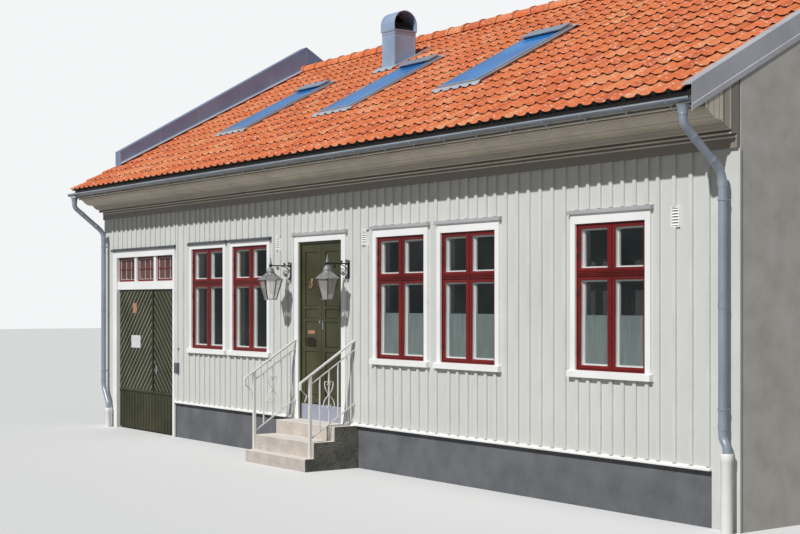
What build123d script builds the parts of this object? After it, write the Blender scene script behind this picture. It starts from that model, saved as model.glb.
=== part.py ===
"""Single-storey timber town house with a gate, a panelled front door and a tiled roof.

Millimetres, +Z up. The street side faces -Y. X = 0 is half-way between the party
lines, Y = 0 is the middle of the footprint with its overhangs, Z = 0 is the lowest ground.
"""

import os
from math import atan, cos, degrees, radians, sin, tan

from build123d import *

os.makedirs("parts", exist_ok=True)

# House body
house_depth = 7800
plinth_height = 530
plinth_thickness = 300
plinth_setback = 20
wall_thickness = 200
party_thickness = 330
floor_thickness = 200
ceiling_height = 2750
attic_floor_thickness = 220
board_thickness = 20

# Openings along the street wall, from the left party line to the right one
gate_left = 545
gate_width = 2040
gate_to_window = 625
left_pair_gap = 275
window_to_door = 815
door_width = 1040
door_to_window = 770
right_pair_gap = 315
last_window_gap = 1275
end_wall_length = 1150

# Roof
roof_pitch = 28
eave_reach = 620
eave_height = 3440
tile_thickness = 60
tile_lift = 18
course_count = 16
deck_thickness = 100
ridge_tile_width = 260
ridge_tile_rise = 75
verge_sheet = 10
verge_cap_width = 130
verge_cap_rise = 25
verge_drop = 230
upstand_width = 200
upstand_foot_rise = 220
upstand_head_rise = 400
upstand_start = 200

# Moulded cornice: heights are measured down from the foot of the fascia
fascia_reach = 530
fascia_thickness = 30
fascia_drop = 165
frieze_thickness = 30
frieze_foot_drop = 345
bed_board_drop = 221
bed_board_reach = 100
bead_drop = 178
bead_head_drop = 128
bead_reach = 200
ovolo_quirk = 15
ovolo_drop = 107
ovolo_head_drop = 30
ovolo_reach = 400
corona_drop = 20
corona_reach = 460
fascia_groove_width = 40
fascia_groove_rise = 8

# Rainwater goods
gutter_radius = 75
gutter_sheet = 4
gutter_drop = 100
bracket_spacing = 900
bracket_width = 25
outlet_radius = 65
outlet_height = 70
downpipe_radius = 45
downpipe_gap = 60
downpipe_inset = 110
gate_pipe_inset = 200
gate_pipe_shift = 200
end_pipe_shift = 50
gate_pipe_foot = 320
end_pipe_foot = 720
foot_bend_slope = 0.7
foot_bend_length = 60
clip_inset = 250
swan_neck_drop = 80
swan_neck_height = 410
ground_pipe_radius = 60
pipe_sides = 12

# Windows
window_width = 980
window_foot = 855
window_height = 1483
window_stile = 52
window_mullion = 107
lower_light_height = 859
cross_rail_height = 124
window_frame_depth = 60
window_frame_proud = 2
glass_thickness = 6
casing_thickness = 25
casing_width = 70
low_head_board = 70
tall_head_board = 110
sill_height = 70
sill_reach = 60
sill_fall = 12
sill_overhang = 25
drip_thickness = 18
drip_reach = 45
drip_rise = 34
drip_lip = 8
drip_overhang = 25

# Gate: heights are measured from the top of the plinth
gate_leaf_foot = 20
gate_lintel_foot = 1750
gate_lintel_height = 130
gate_light_height = 397
gate_head_height = 114
gate_left_leaf = 1275
gate_recess = 40
gate_leaf_thickness = 50
gate_left_casing = 155
gate_right_casing = 65
gate_post_width = 75
gate_rail_level = 84
gate_rail_height = 45
gate_rail_proud = 14
gate_strip_width = 60
gate_strip_proud = 12
sash_bar = 35
sash_recess = 35
sash_depth = 40
lining_thickness = 50
gate_handle_level = 520
gate_handle_inset = 90
gate_handle_plate_width = 45
gate_handle_plate_height = 210
gate_handle_plate_thickness = 6
gate_lever_length = 120
gate_lever_thickness = 16
gate_lever_reach = 45

# Door: heights are measured from the top of the plinth
door_head = 2340
door_jamb = 30
door_casing_width = 95
door_recess = 15
door_leaf_thickness = 45
door_leaf_gap = 12
threshold_height = 208
panel_margin = 85
panel_depth = 12
panel_fielding = 26
panel_field_rise = 9
bottom_rail = 110
low_panel_height = 570
knee_rail = 60
middle_panel_height = 330
lock_rail = 40
narrow_panel_height = 125
frieze_rail = 39
top_rail = 99

# Door furniture
letter_plate_width = 150
letter_plate_height = 110
letter_plate_level = 970
letter_plate_thickness = 12
letter_flap_height = 42
letter_flap_proud = 10
name_plate_width = 105
name_plate_height = 45
name_plate_level = 1128
name_plate_thickness = 3
knocker_level = 1790
knocker_plate_width = 46
knocker_plate_height = 130
knocker_plate_thickness = 8
knocker_plate_corner = 14
knocker_ring_radius = 42
knocker_ring_bar = 11
knocker_ring_drop = 42
pull_level = 1187
pull_height = 85
pull_width = 26
pull_thickness = 8
knob_radius = 19
knob_reach = 48
knob_rise = 18
small_round_sides = 10
meeting_inset = 42

# Hinges and running clearances
leaf_clearance = 8
hinge_radius = 9
hinge_height = 60
hinge_inset = 250
hinge_set_back = 10
hinge_flange = 4
hinge_flange_reach = 36
knuckle_gap = 0.3

# Entrance steps: depths are measured from the wall face outwards
step_left_reach = 40
step_right_reach = 330
landing_depth = 338
middle_tread = 303
slab_tread = 126
landing_drop = 0
upper_riser = 179
lower_riser = 195
slab_left_reach = 53

# Railings, in the plane across the wall
railing_inset = 53
handrail_width = 40
handrail_thickness = 18
handrail_head = 1065
handrail_fall = 510
handrail_end = 801
handrail_return = 85
handrail_bend = 28
return_back = 95
return_drop = 75
return_bar = 10
thin_rail = 14
thin_rail_drop = 115
foot_rail_drop = 785
baluster = 14
baluster_first = 118
baluster_pitch = 134
baluster_count = 4
scroll_baluster = 2
railing_post = 35
post_gap = 2

# Heart scrolls on one baluster of each railing
collar_drop = 420
collar_height = 26
collar_width = 22
scroll_band = 6
upper_scroll_reach = 62
upper_scroll_rise = 128
upper_lobe = 25
lower_scroll_reach = 82
lower_scroll_rise = 130
lower_lobe = 30
curl_share = 0.62

# Lanterns
left_lantern_inset = 194
right_lantern_inset = 153
lantern_axis = 330
lantern_foot = 1587
lantern_eaves = 1840
lantern_foot_radius = 80
lantern_eaves_radius = 155
lantern_eaves_lip = 12
lantern_roof_rise = 95
lantern_cap_radius = 42
lantern_cap_height = 46
lantern_neck_radius = 12
lantern_arm_level = 2030
lantern_arm_bar = 16
lantern_eye_radius = 22
lantern_eye_height = 26
lantern_spire_height = 85
lantern_bar = 9
lantern_base_height = 10
lantern_pane = 3
lantern_plate_head = 45
lantern_plate_height = 235
lantern_plate_width = 60
lantern_plate_thickness = 12
lantern_plate_corner = 18
lantern_brace_reach = 150
lantern_brace_bar = 9
lantern_turns = (0, 30)

# Roof windows, measured up the slope from the eave
roof_window_lefts = (2550, 5420, 8180)
roof_window_width = 780
roof_window_length = 1800
roof_window_foot = 1650
roof_window_ring = 40
roof_window_proud = 28
roof_window_hood = 230
roof_window_hood_rise = 32
apron_length = 180
apron_overhang = 150
apron_sheet = 6

# Vent stack and wall vents
stack_left = 4470
stack_width = 330
stack_front = 2600
stack_depth = 400
stack_rise = 335
stack_flashing = 200
cowl_rise = 310
cowl_overhang = 15
cowl_sheet = 10
window_to_vent = 285
door_to_vent = 500
last_window_to_vent = 385
vent_width = 107
vent_height = 190
vent_foot = 2250
vent_proud = 20
vent_frame = 12
louvre_count = 5
louvre_depth = 8

# Water boards over the plinths
water_board_height = 35
water_board_reach = 40
water_board_nose = 14

# Places along the street wall
first_window = gate_left + gate_width + gate_to_window + window_width / 2
second_window = first_window + window_width + left_pair_gap
door_left = second_window + window_width / 2 + window_to_door
door_right = door_left + door_width
third_window = door_right + door_to_window + window_width / 2
fourth_window = third_window + window_width + right_pair_gap
last_window = fourth_window + window_width + last_window_gap
house_length = last_window + window_width / 2 + end_wall_length
left_pair = (first_window, second_window)
right_windows = (third_window, fourth_window, last_window)
rear_windows = tuple(house_length - middle for middle in left_pair + right_windows)
step_left = door_left - step_left_reach
step_right = door_right + step_right_reach
left_railing = door_left - door_casing_width / 2
right_railing = step_right - railing_inset
lantern_middles = (door_left - left_lantern_inset, door_right + right_lantern_inset)
vent_middles = (
    second_window + window_width / 2 + window_to_vent,
    door_right + door_to_vent,
    last_window + window_width / 2 + last_window_to_vent,
)

# Depths and levels worked out from the sizes above
roof_rise = tan(radians(roof_pitch))
middle_step_front = landing_depth + middle_tread
slab_front = middle_step_front + slab_tread
post_reach = middle_step_front + post_gap + railing_post / 2
street_reach = handrail_end + handrail_thickness / 2
gutter_reach = eave_reach + gutter_radius
centre_shift = (street_reach - gutter_reach) / 2
front_face = -house_depth / 2 + centre_shift
rear_face = house_depth / 2 + centre_shift
left_end = -house_length / 2
right_end = house_length / 2
party_left_inner = left_end + party_thickness
party_right_inner = right_end - party_thickness
tile_drop = tile_thickness / cos(radians(roof_pitch))
tile_lean = tile_lift / cos(radians(roof_pitch))
deck_drop = tile_drop + deck_thickness / cos(radians(roof_pitch))
roof_run = house_depth / 2 + eave_reach
course_run = roof_run / course_count
ridge_level = plinth_height + eave_height + roof_run * roof_rise
ceiling_level = plinth_height + ceiling_height
attic_level = ceiling_level + attic_floor_thickness
floor_level = plinth_height + floor_thickness
fascia_foot = eave_height - fascia_drop
frieze_foot = fascia_foot - frieze_foot_drop
window_head = window_foot + window_height
gate_lintel_head = gate_lintel_foot + gate_lintel_height
gate_light_head = gate_lintel_head + gate_light_height
gate_frame_head = gate_light_head + gate_head_height
landing_level = -landing_drop
middle_step_level = landing_level - upper_riser
slab_level = middle_step_level - lower_riser
gate_x0 = left_end + gate_left
gate_x1 = gate_x0 + gate_width
door_x0 = left_end + door_left
door_x1 = left_end + door_right
foundation_x0 = gate_x1 + lining_thickness


def station(distance):
    """X of a point measured from the left party line."""
    return left_end + distance


def above(height):
    """Z of a height measured from the top of the plinth."""
    return plinth_height + height


def street(reach):
    """Y of a point that stands this far in front of the street wall."""
    return front_face - reach


def yard(reach):
    """Y of a point that stands this far behind the rear wall."""
    return rear_face + reach


def roof_line(y, drop=0):
    """Level of the roof at y, this far straight below the tile crests."""
    return ridge_level - abs(y - centre_shift) * roof_rise - drop


def block(x0, x1, y0, y1, z0, z1, mode=Mode.ADD):
    """A plain block between two corners."""
    with Locations(((x0 + x1) / 2, (y0 + y1) / 2, (z0 + z1) / 2)):
        Box(x1 - x0, abs(y1 - y0), z1 - z0, mode=mode)


def prism(points, x0, x1, mode=Mode.ADD):
    """An outline of (y, z) points carried along X."""
    with BuildSketch(Plane.YZ.offset(x0)) as outline:
        with BuildLine():
            Polyline(*points, close=True)
        make_face()
    extrude(outline.sketch, amount=x1 - x0, mode=mode)


def many_sided(x, y, sides, turn, foot, foot_radius, head, head_radius):
    """Flat-sided body that tapers between two heights on an upright axis."""
    rings = []
    for height, radius in ((foot, foot_radius), (head, head_radius)):
        angles = [radians(turn + side * 360 / sides) for side in range(sides)]
        rings.append([Vector(x + radius * cos(a), y + radius * sin(a), above(height)) for a in angles])
    faces = [Face(Wire.make_polygon(ring)) for ring in rings]
    for side in range(sides):
        corners = (rings[0][side - 1], rings[0][side], rings[1][side], rings[1][side - 1])
        faces.append(Face(Wire.make_polygon(corners)))
    return Solid(Shell(faces))


def wall_outline(reach_to_y, foot):
    """Cross-section of a long wall whose head follows the roof deck."""
    outer = reach_to_y(0)
    inner = reach_to_y(-wall_thickness)
    return (
        (outer, foot),
        (inner, foot),
        (inner, roof_line(inner, deck_drop)),
        (outer, roof_line(outer, deck_drop)),
    )


def cut_windows(middles, reach_to_y):
    """Cut the window holes through a long wall."""
    for middle in middles:
        x = station(middle)
        block(
            x - window_width / 2,
            x + window_width / 2,
            reach_to_y(casing_thickness),
            reach_to_y(-wall_thickness),
            above(window_foot),
            above(window_head),
            mode=Mode.SUBTRACT,
        )


# Plinths, foundation and party walls
with BuildPart() as plinths:
    for plinth_x0, plinth_side in ((foundation_x0, street), (party_left_inner, yard)):
        block(
            plinth_x0,
            party_right_inner,
            plinth_side(-plinth_setback),
            plinth_side(-plinth_setback - plinth_thickness),
            0,
            plinth_height,
        )

with BuildPart() as passage_foundation:
    block(
        foundation_x0,
        foundation_x0 + plinth_thickness,
        street(-plinth_setback - plinth_thickness),
        yard(-plinth_setback - plinth_thickness),
        0,
        plinth_height,
    )

party_outline = (
    (street(-board_thickness), 0),
    (yard(-board_thickness), 0),
    (yard(-board_thickness), roof_line(yard(-board_thickness), deck_drop)),
    (centre_shift, roof_line(centre_shift, deck_drop)),
    (street(-board_thickness), roof_line(street(-board_thickness), deck_drop)),
)

with BuildPart() as party_walls:
    prism(party_outline, left_end + verge_sheet, party_left_inner)
    prism(party_outline, party_right_inner, right_end - verge_sheet)

# Front wall, split beside and over the gate and the door
with BuildPart() as front_wall_at_gate:
    prism(wall_outline(street, 0), party_left_inner, gate_x0 - lining_thickness)

with BuildPart() as front_wall_over_gate:
    prism(wall_outline(street, above(gate_frame_head)), gate_x0 - lining_thickness, foundation_x0)

with BuildPart() as front_wall_left:
    prism(wall_outline(street, plinth_height), foundation_x0, door_x0 - lining_thickness)
    cut_windows(left_pair, street)

with BuildPart() as front_wall_over_door:
    prism(
        wall_outline(street, above(door_head + lining_thickness)),
        door_x0 - lining_thickness,
        door_x1 + lining_thickness,
    )

with BuildPart() as front_wall_right:
    prism(wall_outline(street, plinth_height), door_x1 + lining_thickness, party_right_inner)
    cut_windows(right_windows, street)

with BuildPart() as rear_wall:
    prism(wall_outline(yard, plinth_height), party_left_inner, party_right_inner)
    cut_windows(rear_windows, yard)

# Floors
with BuildPart() as ground_floor:
    block(
        foundation_x0,
        party_right_inner,
        street(-wall_thickness),
        yard(-wall_thickness),
        plinth_height,
        floor_level,
    )

with BuildPart() as attic_floor:
    block(
        party_left_inner,
        party_right_inner,
        street(-wall_thickness),
        yard(-wall_thickness),
        ceiling_level,
        attic_level,
    )


# Windows
def window_frame(middle, reach_to_y):
    """Casement frame with a middle post and a cross rail: four lights."""
    x = station(middle)
    outer = reach_to_y(window_frame_proud)
    inner = reach_to_y(window_frame_proud - window_frame_depth)
    x0 = x - window_width / 2
    x1 = x + window_width / 2
    rail_foot = window_foot + window_stile + lower_light_height
    block(x0, x1, outer, inner, above(window_foot), above(window_head))
    lights = (
        (x0 + window_stile, x - window_mullion / 2),
        (x + window_mullion / 2, x1 - window_stile),
    )
    levels = (
        (window_foot + window_stile, rail_foot),
        (rail_foot + cross_rail_height, window_head - window_stile),
    )
    for light_x0, light_x1 in lights:
        for foot, head in levels:
            block(light_x0, light_x1, outer, inner, above(foot), above(head), mode=Mode.SUBTRACT)


def window_glass_pane(middle, reach_to_y):
    """One sheet of glass behind the casement frame."""
    x = station(middle)
    outer = reach_to_y(window_frame_proud - window_frame_depth)
    inner = reach_to_y(window_frame_proud - window_frame_depth - glass_thickness)
    block(
        x - window_width / 2,
        x + window_width / 2,
        outer,
        inner,
        above(window_foot),
        above(window_head),
    )


def drip_mould(x0, x1, head, reach_to_y):
    """Sheet-covered drip over a head board: it falls outwards and ends in a turned-down lip."""
    prism(
        (
            (reach_to_y(0), above(head)),
            (reach_to_y(drip_reach - drip_lip), above(head)),
            (reach_to_y(drip_reach - drip_lip), above(head - drip_lip)),
            (reach_to_y(drip_reach), above(head - drip_lip)),
            (reach_to_y(drip_reach), above(head + drip_thickness)),
            (reach_to_y(0), above(head + drip_rise)),
        ),
        x0 - drip_overhang,
        x1 + drip_overhang,
    )


def window_casing(middle, reach_to_y, head_board):
    """Face boards round a window, with its sloping sill and drip mould."""
    x = station(middle)
    x0 = x - window_width / 2
    x1 = x + window_width / 2
    face = reach_to_y(0)
    proud = reach_to_y(casing_thickness)
    head = window_head + head_board
    block(x0 - casing_width, x0, face, proud, above(window_foot), above(window_head))
    block(x1, x1 + casing_width, face, proud, above(window_foot), above(window_head))
    block(x0 - casing_width, x1 + casing_width, face, proud, above(window_head), above(head))
    prism(
        (
            (face, above(window_foot - sill_height)),
            (reach_to_y(sill_reach), above(window_foot - sill_height)),
            (reach_to_y(sill_reach), above(window_foot - sill_fall)),
            (proud, above(window_foot)),
            (face, above(window_foot)),
        ),
        x0 - casing_width - sill_overhang,
        x1 + casing_width + sill_overhang,
    )
    drip_mould(x0 - casing_width, x1 + casing_width, head, reach_to_y)


with BuildPart() as window_frames:
    for window_middle in left_pair + right_windows:
        window_frame(window_middle, street)
    for window_middle in rear_windows:
        window_frame(window_middle, yard)

with BuildPart() as window_glass:
    for window_middle in left_pair + right_windows:
        window_glass_pane(window_middle, street)
    for window_middle in rear_windows:
        window_glass_pane(window_middle, yard)

with BuildPart() as window_casings:
    for window_middle in left_pair:
        window_casing(window_middle, street, low_head_board)
    for window_middle in right_windows:
        window_casing(window_middle, street, tall_head_board)
    for window_middle in rear_windows:
        window_casing(window_middle, yard, low_head_board)


# Hinges
def hinge_levels(foot, head):
    """The two hinge levels of a leaf."""
    return (foot + hinge_inset, head - hinge_inset - 2 * hinge_height)


def hinge_knuckle(jamb_x, side, leaf_back, level, on_leaf):
    """Half of a hinge: its flange and knuckle on the jamb, or on the leaf above it.

    side is 1 where the leaf lies to the +X side of its jamb and -1 where it lies to the -X side.
    """
    axis_x = jamb_x + side * leaf_clearance / 2
    axis_y = leaf_back + hinge_set_back
    foot = level + hinge_height + knuckle_gap if on_leaf else level
    reach = side * hinge_flange_reach if on_leaf else -side * hinge_flange_reach
    block(
        min(axis_x, axis_x + reach),
        max(axis_x, axis_x + reach),
        leaf_back,
        leaf_back + hinge_flange,
        foot,
        foot + hinge_height,
    )
    with Locations((axis_x, axis_y, foot + hinge_height / 2)):
        Cylinder(hinge_radius, hinge_height)


# Gate frame: jambs, casing, lintel, transom posts, head and drip mould
gate_leaf_front = street(-gate_recess)
gate_leaf_back = street(-gate_recess - gate_leaf_thickness)
gate_leaf_head = above(gate_lintel_foot) - leaf_clearance
gate_light_width = (gate_width - 2 * gate_post_width) / 3

with BuildPart() as gate_frame:
    for jamb_x0 in (gate_x0 - lining_thickness, gate_x1):
        block(
            jamb_x0,
            jamb_x0 + lining_thickness,
            street(0),
            gate_leaf_back,
            0,
            above(gate_frame_head),
        )
    for rail_foot, rail_head in ((gate_lintel_foot, gate_lintel_head), (gate_light_head, gate_frame_head)):
        block(gate_x0, gate_x1, street(0), gate_leaf_back, above(rail_foot), above(rail_head))
    for light in range(2):
        post_x0 = gate_x0 + gate_light_width + light * (gate_light_width + gate_post_width)
        block(
            post_x0,
            post_x0 + gate_post_width,
            street(0),
            gate_leaf_back,
            above(gate_lintel_head),
            above(gate_light_head),
        )
    for board_x0, board_x1 in (
        (gate_x0 - gate_left_casing, gate_x0),
        (gate_x1, gate_x1 + gate_right_casing),
    ):
        block(board_x0, board_x1, street(casing_thickness), street(0), 0, above(gate_light_head))
    block(
        gate_x0 - gate_left_casing,
        gate_x1 + gate_right_casing,
        street(casing_thickness),
        street(0),
        above(gate_light_head),
        above(gate_frame_head),
    )
    drip_mould(gate_x0 - gate_left_casing, gate_x1 + gate_right_casing, gate_frame_head, street)
    for hinge_level in hinge_levels(gate_leaf_foot, gate_leaf_head):
        hinge_knuckle(gate_x0, 1, gate_leaf_back, hinge_level, False)
        hinge_knuckle(gate_x1, -1, gate_leaf_back, hinge_level, False)

with BuildPart() as gate_transom_sashes:
    for light in range(3):
        sash_x0 = gate_x0 + light * (gate_light_width + gate_post_width)
        sash_x1 = sash_x0 + gate_light_width
        sash_y0 = street(-sash_recess)
        sash_y1 = street(-sash_recess - sash_depth)
        block(sash_x0, sash_x1, sash_y0, sash_y1, above(gate_lintel_head), above(gate_light_head))
        block(
            sash_x0 + sash_bar,
            sash_x1 - sash_bar,
            sash_y0,
            sash_y1,
            above(gate_lintel_head + sash_bar),
            above(gate_light_head - sash_bar),
            mode=Mode.SUBTRACT,
        )

with BuildPart() as gate_transom_glass:
    for light in range(3):
        sash_x0 = gate_x0 + light * (gate_light_width + gate_post_width)
        block(
            sash_x0 + sash_bar,
            sash_x0 + gate_light_width - sash_bar,
            street(-sash_recess - sash_depth / 2),
            street(-sash_recess - sash_depth / 2 - glass_thickness),
            above(gate_lintel_head + sash_bar),
            above(gate_light_head - sash_bar),
        )


def gate_leaf(x0, x1, jamb_x, side):
    """Boarded gate leaf with a weather rail and its hinge halves."""
    block(x0, x1, gate_leaf_front, gate_leaf_back, gate_leaf_foot, gate_leaf_head)
    block(
        x0,
        x1,
        gate_leaf_front - gate_rail_proud,
        gate_leaf_front,
        above(gate_rail_level),
        above(gate_rail_level + gate_rail_height),
    )
    for level in hinge_levels(gate_leaf_foot, gate_leaf_head):
        hinge_knuckle(jamb_x, side, gate_leaf_back, level, True)


gate_meeting_x0 = gate_x0 + gate_left_leaf - leaf_clearance / 2
gate_meeting_x1 = gate_x0 + gate_left_leaf + leaf_clearance / 2

with BuildPart() as gate_leaf_left:
    gate_leaf(gate_x0 + leaf_clearance, gate_meeting_x0, gate_x0, 1)
    block(
        gate_meeting_x0 - gate_strip_width,
        gate_meeting_x0,
        gate_leaf_front - gate_strip_proud,
        gate_leaf_front,
        above(gate_rail_level + gate_rail_height),
        gate_leaf_head,
    )

with BuildPart() as gate_leaf_right:
    gate_leaf(gate_meeting_x1, gate_x1 - leaf_clearance, gate_x1, -1)

# Lever handle on its long plate, beside the meeting edge of the right gate leaf
gate_handle_x = gate_meeting_x1 + gate_handle_inset
gate_lever_z0 = above(gate_handle_level) - gate_lever_thickness / 2
gate_lever_front = gate_leaf_front - gate_lever_reach

with BuildPart() as gate_handle:
    block(
        gate_handle_x - gate_handle_plate_width / 2,
        gate_handle_x + gate_handle_plate_width / 2,
        gate_leaf_front - gate_handle_plate_thickness,
        gate_leaf_front,
        above(gate_handle_level) - 2 * gate_handle_plate_height / 3,
        above(gate_handle_level) + gate_handle_plate_height / 3,
    )
    block(
        gate_handle_x - gate_lever_thickness / 2,
        gate_handle_x + gate_lever_thickness / 2,
        gate_lever_front,
        gate_leaf_front - gate_handle_plate_thickness,
        gate_lever_z0,
        gate_lever_z0 + gate_lever_thickness,
    )
    block(
        gate_handle_x - gate_lever_thickness / 2,
        gate_handle_x + gate_lever_length,
        gate_lever_front,
        gate_lever_front + gate_lever_thickness,
        gate_lever_z0,
        gate_lever_z0 + gate_lever_thickness,
    )

# Door frame, casing, threshold and leaves
door_leaf_front = street(-door_recess)
door_leaf_back = street(-door_recess - door_leaf_thickness)
door_clear_x0 = door_x0 + door_jamb
door_clear_x1 = door_x1 - door_jamb
door_middle = (door_x0 + door_x1) / 2
door_clear_head = door_head - door_jamb
door_leaf_foot = threshold_height + door_leaf_gap
door_leaf_head = door_clear_head - leaf_clearance

with BuildPart() as door_frame:
    for jamb_x0, jamb_x1 in (
        (door_x0 - lining_thickness, door_clear_x0),
        (door_clear_x1, door_x1 + lining_thickness),
    ):
        block(
            jamb_x0,
            jamb_x1,
            street(0),
            door_leaf_back,
            plinth_height,
            above(door_head + lining_thickness),
        )
    block(
        door_clear_x0,
        door_clear_x1,
        street(0),
        door_leaf_back,
        above(door_clear_head),
        above(door_head + lining_thickness),
    )
    for hinge_level in hinge_levels(above(door_leaf_foot), above(door_leaf_head)):
        hinge_knuckle(door_clear_x0, 1, door_leaf_back, hinge_level, False)
        hinge_knuckle(door_clear_x1, -1, door_leaf_back, hinge_level, False)

with BuildPart() as door_casing:
    for board_x0, board_x1 in (
        (door_x0 - door_casing_width, door_x0),
        (door_x1, door_x1 + door_casing_width),
    ):
        block(board_x0, board_x1, street(casing_thickness), street(0), plinth_height, above(door_head))
    block(
        door_x0 - door_casing_width,
        door_x1 + door_casing_width,
        street(casing_thickness),
        street(0),
        above(door_head),
        above(door_head + door_casing_width),
    )
    drip_mould(
        door_x0 - door_casing_width,
        door_x1 + door_casing_width,
        door_head + door_casing_width,
        street,
    )

with BuildPart() as door_threshold:
    block(
        door_clear_x0,
        door_clear_x1,
        door_leaf_front,
        street(-wall_thickness),
        plinth_height,
        above(threshold_height),
    )


def fielded_panel(x0, x1, foot, head):
    """Sink one panel into a door leaf and raise its bevelled field."""
    block(
        x0,
        x1,
        door_leaf_front,
        door_leaf_front + panel_depth,
        above(foot),
        above(head),
        mode=Mode.SUBTRACT,
    )
    with BuildSketch(Plane.XZ.offset(-door_leaf_front - panel_depth)) as field:
        with Locations(((x0 + x1) / 2, above((foot + head) / 2))):
            Rectangle(x1 - x0, head - foot)
    extrude(
        field.sketch,
        amount=panel_field_rise,
        taper=degrees(atan(panel_fielding / panel_field_rise)),
    )


def door_leaf(x0, x1, jamb_x, side):
    """Door leaf with four fielded panels, and its hinge halves."""
    block(x0, x1, door_leaf_front, door_leaf_back, above(door_leaf_foot), above(door_leaf_head))
    foot = door_leaf_foot + bottom_rail
    for height, rail in (
        (low_panel_height, knee_rail),
        (middle_panel_height, lock_rail),
        (narrow_panel_height, frieze_rail),
    ):
        fielded_panel(x0 + panel_margin, x1 - panel_margin, foot, foot + height)
        foot += height + rail
    fielded_panel(x0 + panel_margin, x1 - panel_margin, foot, door_leaf_head - top_rail)
    for level in hinge_levels(above(door_leaf_foot), above(door_leaf_head)):
        hinge_knuckle(jamb_x, side, door_leaf_back, level, True)


with BuildPart() as door_leaf_left:
    door_leaf(door_clear_x0 + leaf_clearance, door_middle - leaf_clearance / 2, door_clear_x0, 1)

with BuildPart() as door_leaf_right:
    door_leaf(door_middle + leaf_clearance / 2, door_clear_x1 - leaf_clearance, door_clear_x1, -1)

left_leaf_middle = (door_clear_x0 + leaf_clearance + door_middle - leaf_clearance / 2) / 2
panel_floor = door_leaf_front + panel_depth


def facing_street(y):
    """Upright plane at this Y whose normal points to the street."""
    return Plane.XZ.offset(-y)


# Letter plate, name plate and ring knocker on the left leaf
field_face = panel_floor - panel_field_rise

with BuildPart() as door_fittings:
    block(
        left_leaf_middle - letter_plate_width / 2,
        left_leaf_middle + letter_plate_width / 2,
        field_face - letter_plate_thickness,
        field_face,
        above(letter_plate_level),
        above(letter_plate_level + letter_plate_height),
    )
    block(
        left_leaf_middle - letter_plate_width / 2,
        left_leaf_middle + letter_plate_width / 2,
        field_face - letter_plate_thickness - letter_flap_proud,
        field_face - letter_plate_thickness,
        above(letter_plate_level + letter_plate_height - letter_flap_height),
        above(letter_plate_level + letter_plate_height),
    )
    block(
        left_leaf_middle - name_plate_width / 2,
        left_leaf_middle + name_plate_width / 2,
        field_face - name_plate_thickness,
        field_face,
        above(name_plate_level),
        above(name_plate_level + name_plate_height),
    )
    with BuildSketch(facing_street(field_face)) as knocker_plate:
        with Locations((left_leaf_middle, above(knocker_level))):
            Rectangle(knocker_plate_width, knocker_plate_height)
        chamfer(knocker_plate.vertices(), knocker_plate_corner)
    extrude(amount=knocker_plate_thickness)
    with BuildSketch(facing_street(field_face - knocker_plate_thickness)):
        with Locations((left_leaf_middle, above(knocker_level - knocker_ring_drop))):
            RegularPolygon(knocker_ring_radius, small_round_sides)
            RegularPolygon(knocker_ring_radius - knocker_ring_bar, small_round_sides, mode=Mode.SUBTRACT)
    extrude(amount=knocker_ring_bar)

# Pull plate with its knob on the meeting stile of the right leaf
pull_x = door_middle + meeting_inset
pull_head = pull_level + pull_height + 2 * knob_rise

with BuildPart() as door_handle:
    block(
        pull_x - pull_width / 2,
        pull_x + pull_width / 2,
        door_leaf_front - pull_thickness,
        door_leaf_front,
        above(pull_level),
        above(pull_head),
    )
    with BuildSketch(facing_street(door_leaf_front - pull_thickness)):
        with Locations((pull_x, above(pull_head - knob_rise))):
            RegularPolygon(knob_radius / 2, small_round_sides)
    extrude(amount=knob_reach - knob_radius)
    with BuildSketch(facing_street(door_leaf_front - pull_thickness - knob_reach + knob_radius)):
        with Locations((pull_x, above(pull_head - knob_rise))):
            RegularPolygon(knob_radius, small_round_sides)
    extrude(amount=knob_radius)

# Entrance steps: three treads bedded one before the other
with BuildPart() as landing:
    block(
        station(step_left),
        station(step_right),
        street(landing_depth),
        street(-plinth_setback),
        0,
        above(landing_level),
    )

with BuildPart() as middle_step:
    block(
        station(step_left),
        station(step_right),
        street(middle_step_front),
        street(landing_depth),
        0,
        above(middle_step_level),
    )

with BuildPart() as bottom_step:
    block(
        station(step_left - slab_left_reach),
        station(step_right),
        street(slab_front),
        street(middle_step_front),
        0,
        above(slab_level),
    )


# Wrought railings
def bar(points, width, line, bend=0):
    """A bar along points in a railing's plane: width is (across the plane, in the plane)."""
    with BuildSketch(Plane.YZ.offset(line - width[0] / 2)) as outline:
        with BuildLine():
            if bend:
                FilletPolyline(*points, radius=bend)
            else:
                Polyline(*points)
        trace(line_width=width[1])
    extrude(outline.sketch, amount=width[0])


def scroll_pair(line, middle, root, up, reach, rise, lobe):
    """Two mirrored scrolls that spring from a collar, swell outwards and hook in at the end.

    up is 1 for the pair above the collar and -1 for the pair below it.
    """
    curl = lobe * curl_share
    with BuildSketch(Plane.YZ.offset(line - baluster / 2)) as outline:
        for side in (-1, 1):
            shoulder = (middle + side * reach, root + up * rise)
            crown = (shoulder[0] - side * lobe, shoulder[1] + up * lobe)
            throat = (shoulder[0] - side * 2 * lobe, shoulder[1])
            eye = (throat[0] + side * curl, throat[1] - up * curl)
            with BuildLine():
                TangentArc(shoulder, (middle + side * baluster / 2, root), tangent=(0, -up))
                ThreePointArc(shoulder, crown, throat)
                TangentArc(throat, eye, tangent=(0, -up))
            trace(line_width=scroll_band)
    extrude(outline.sketch, amount=baluster)


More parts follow.
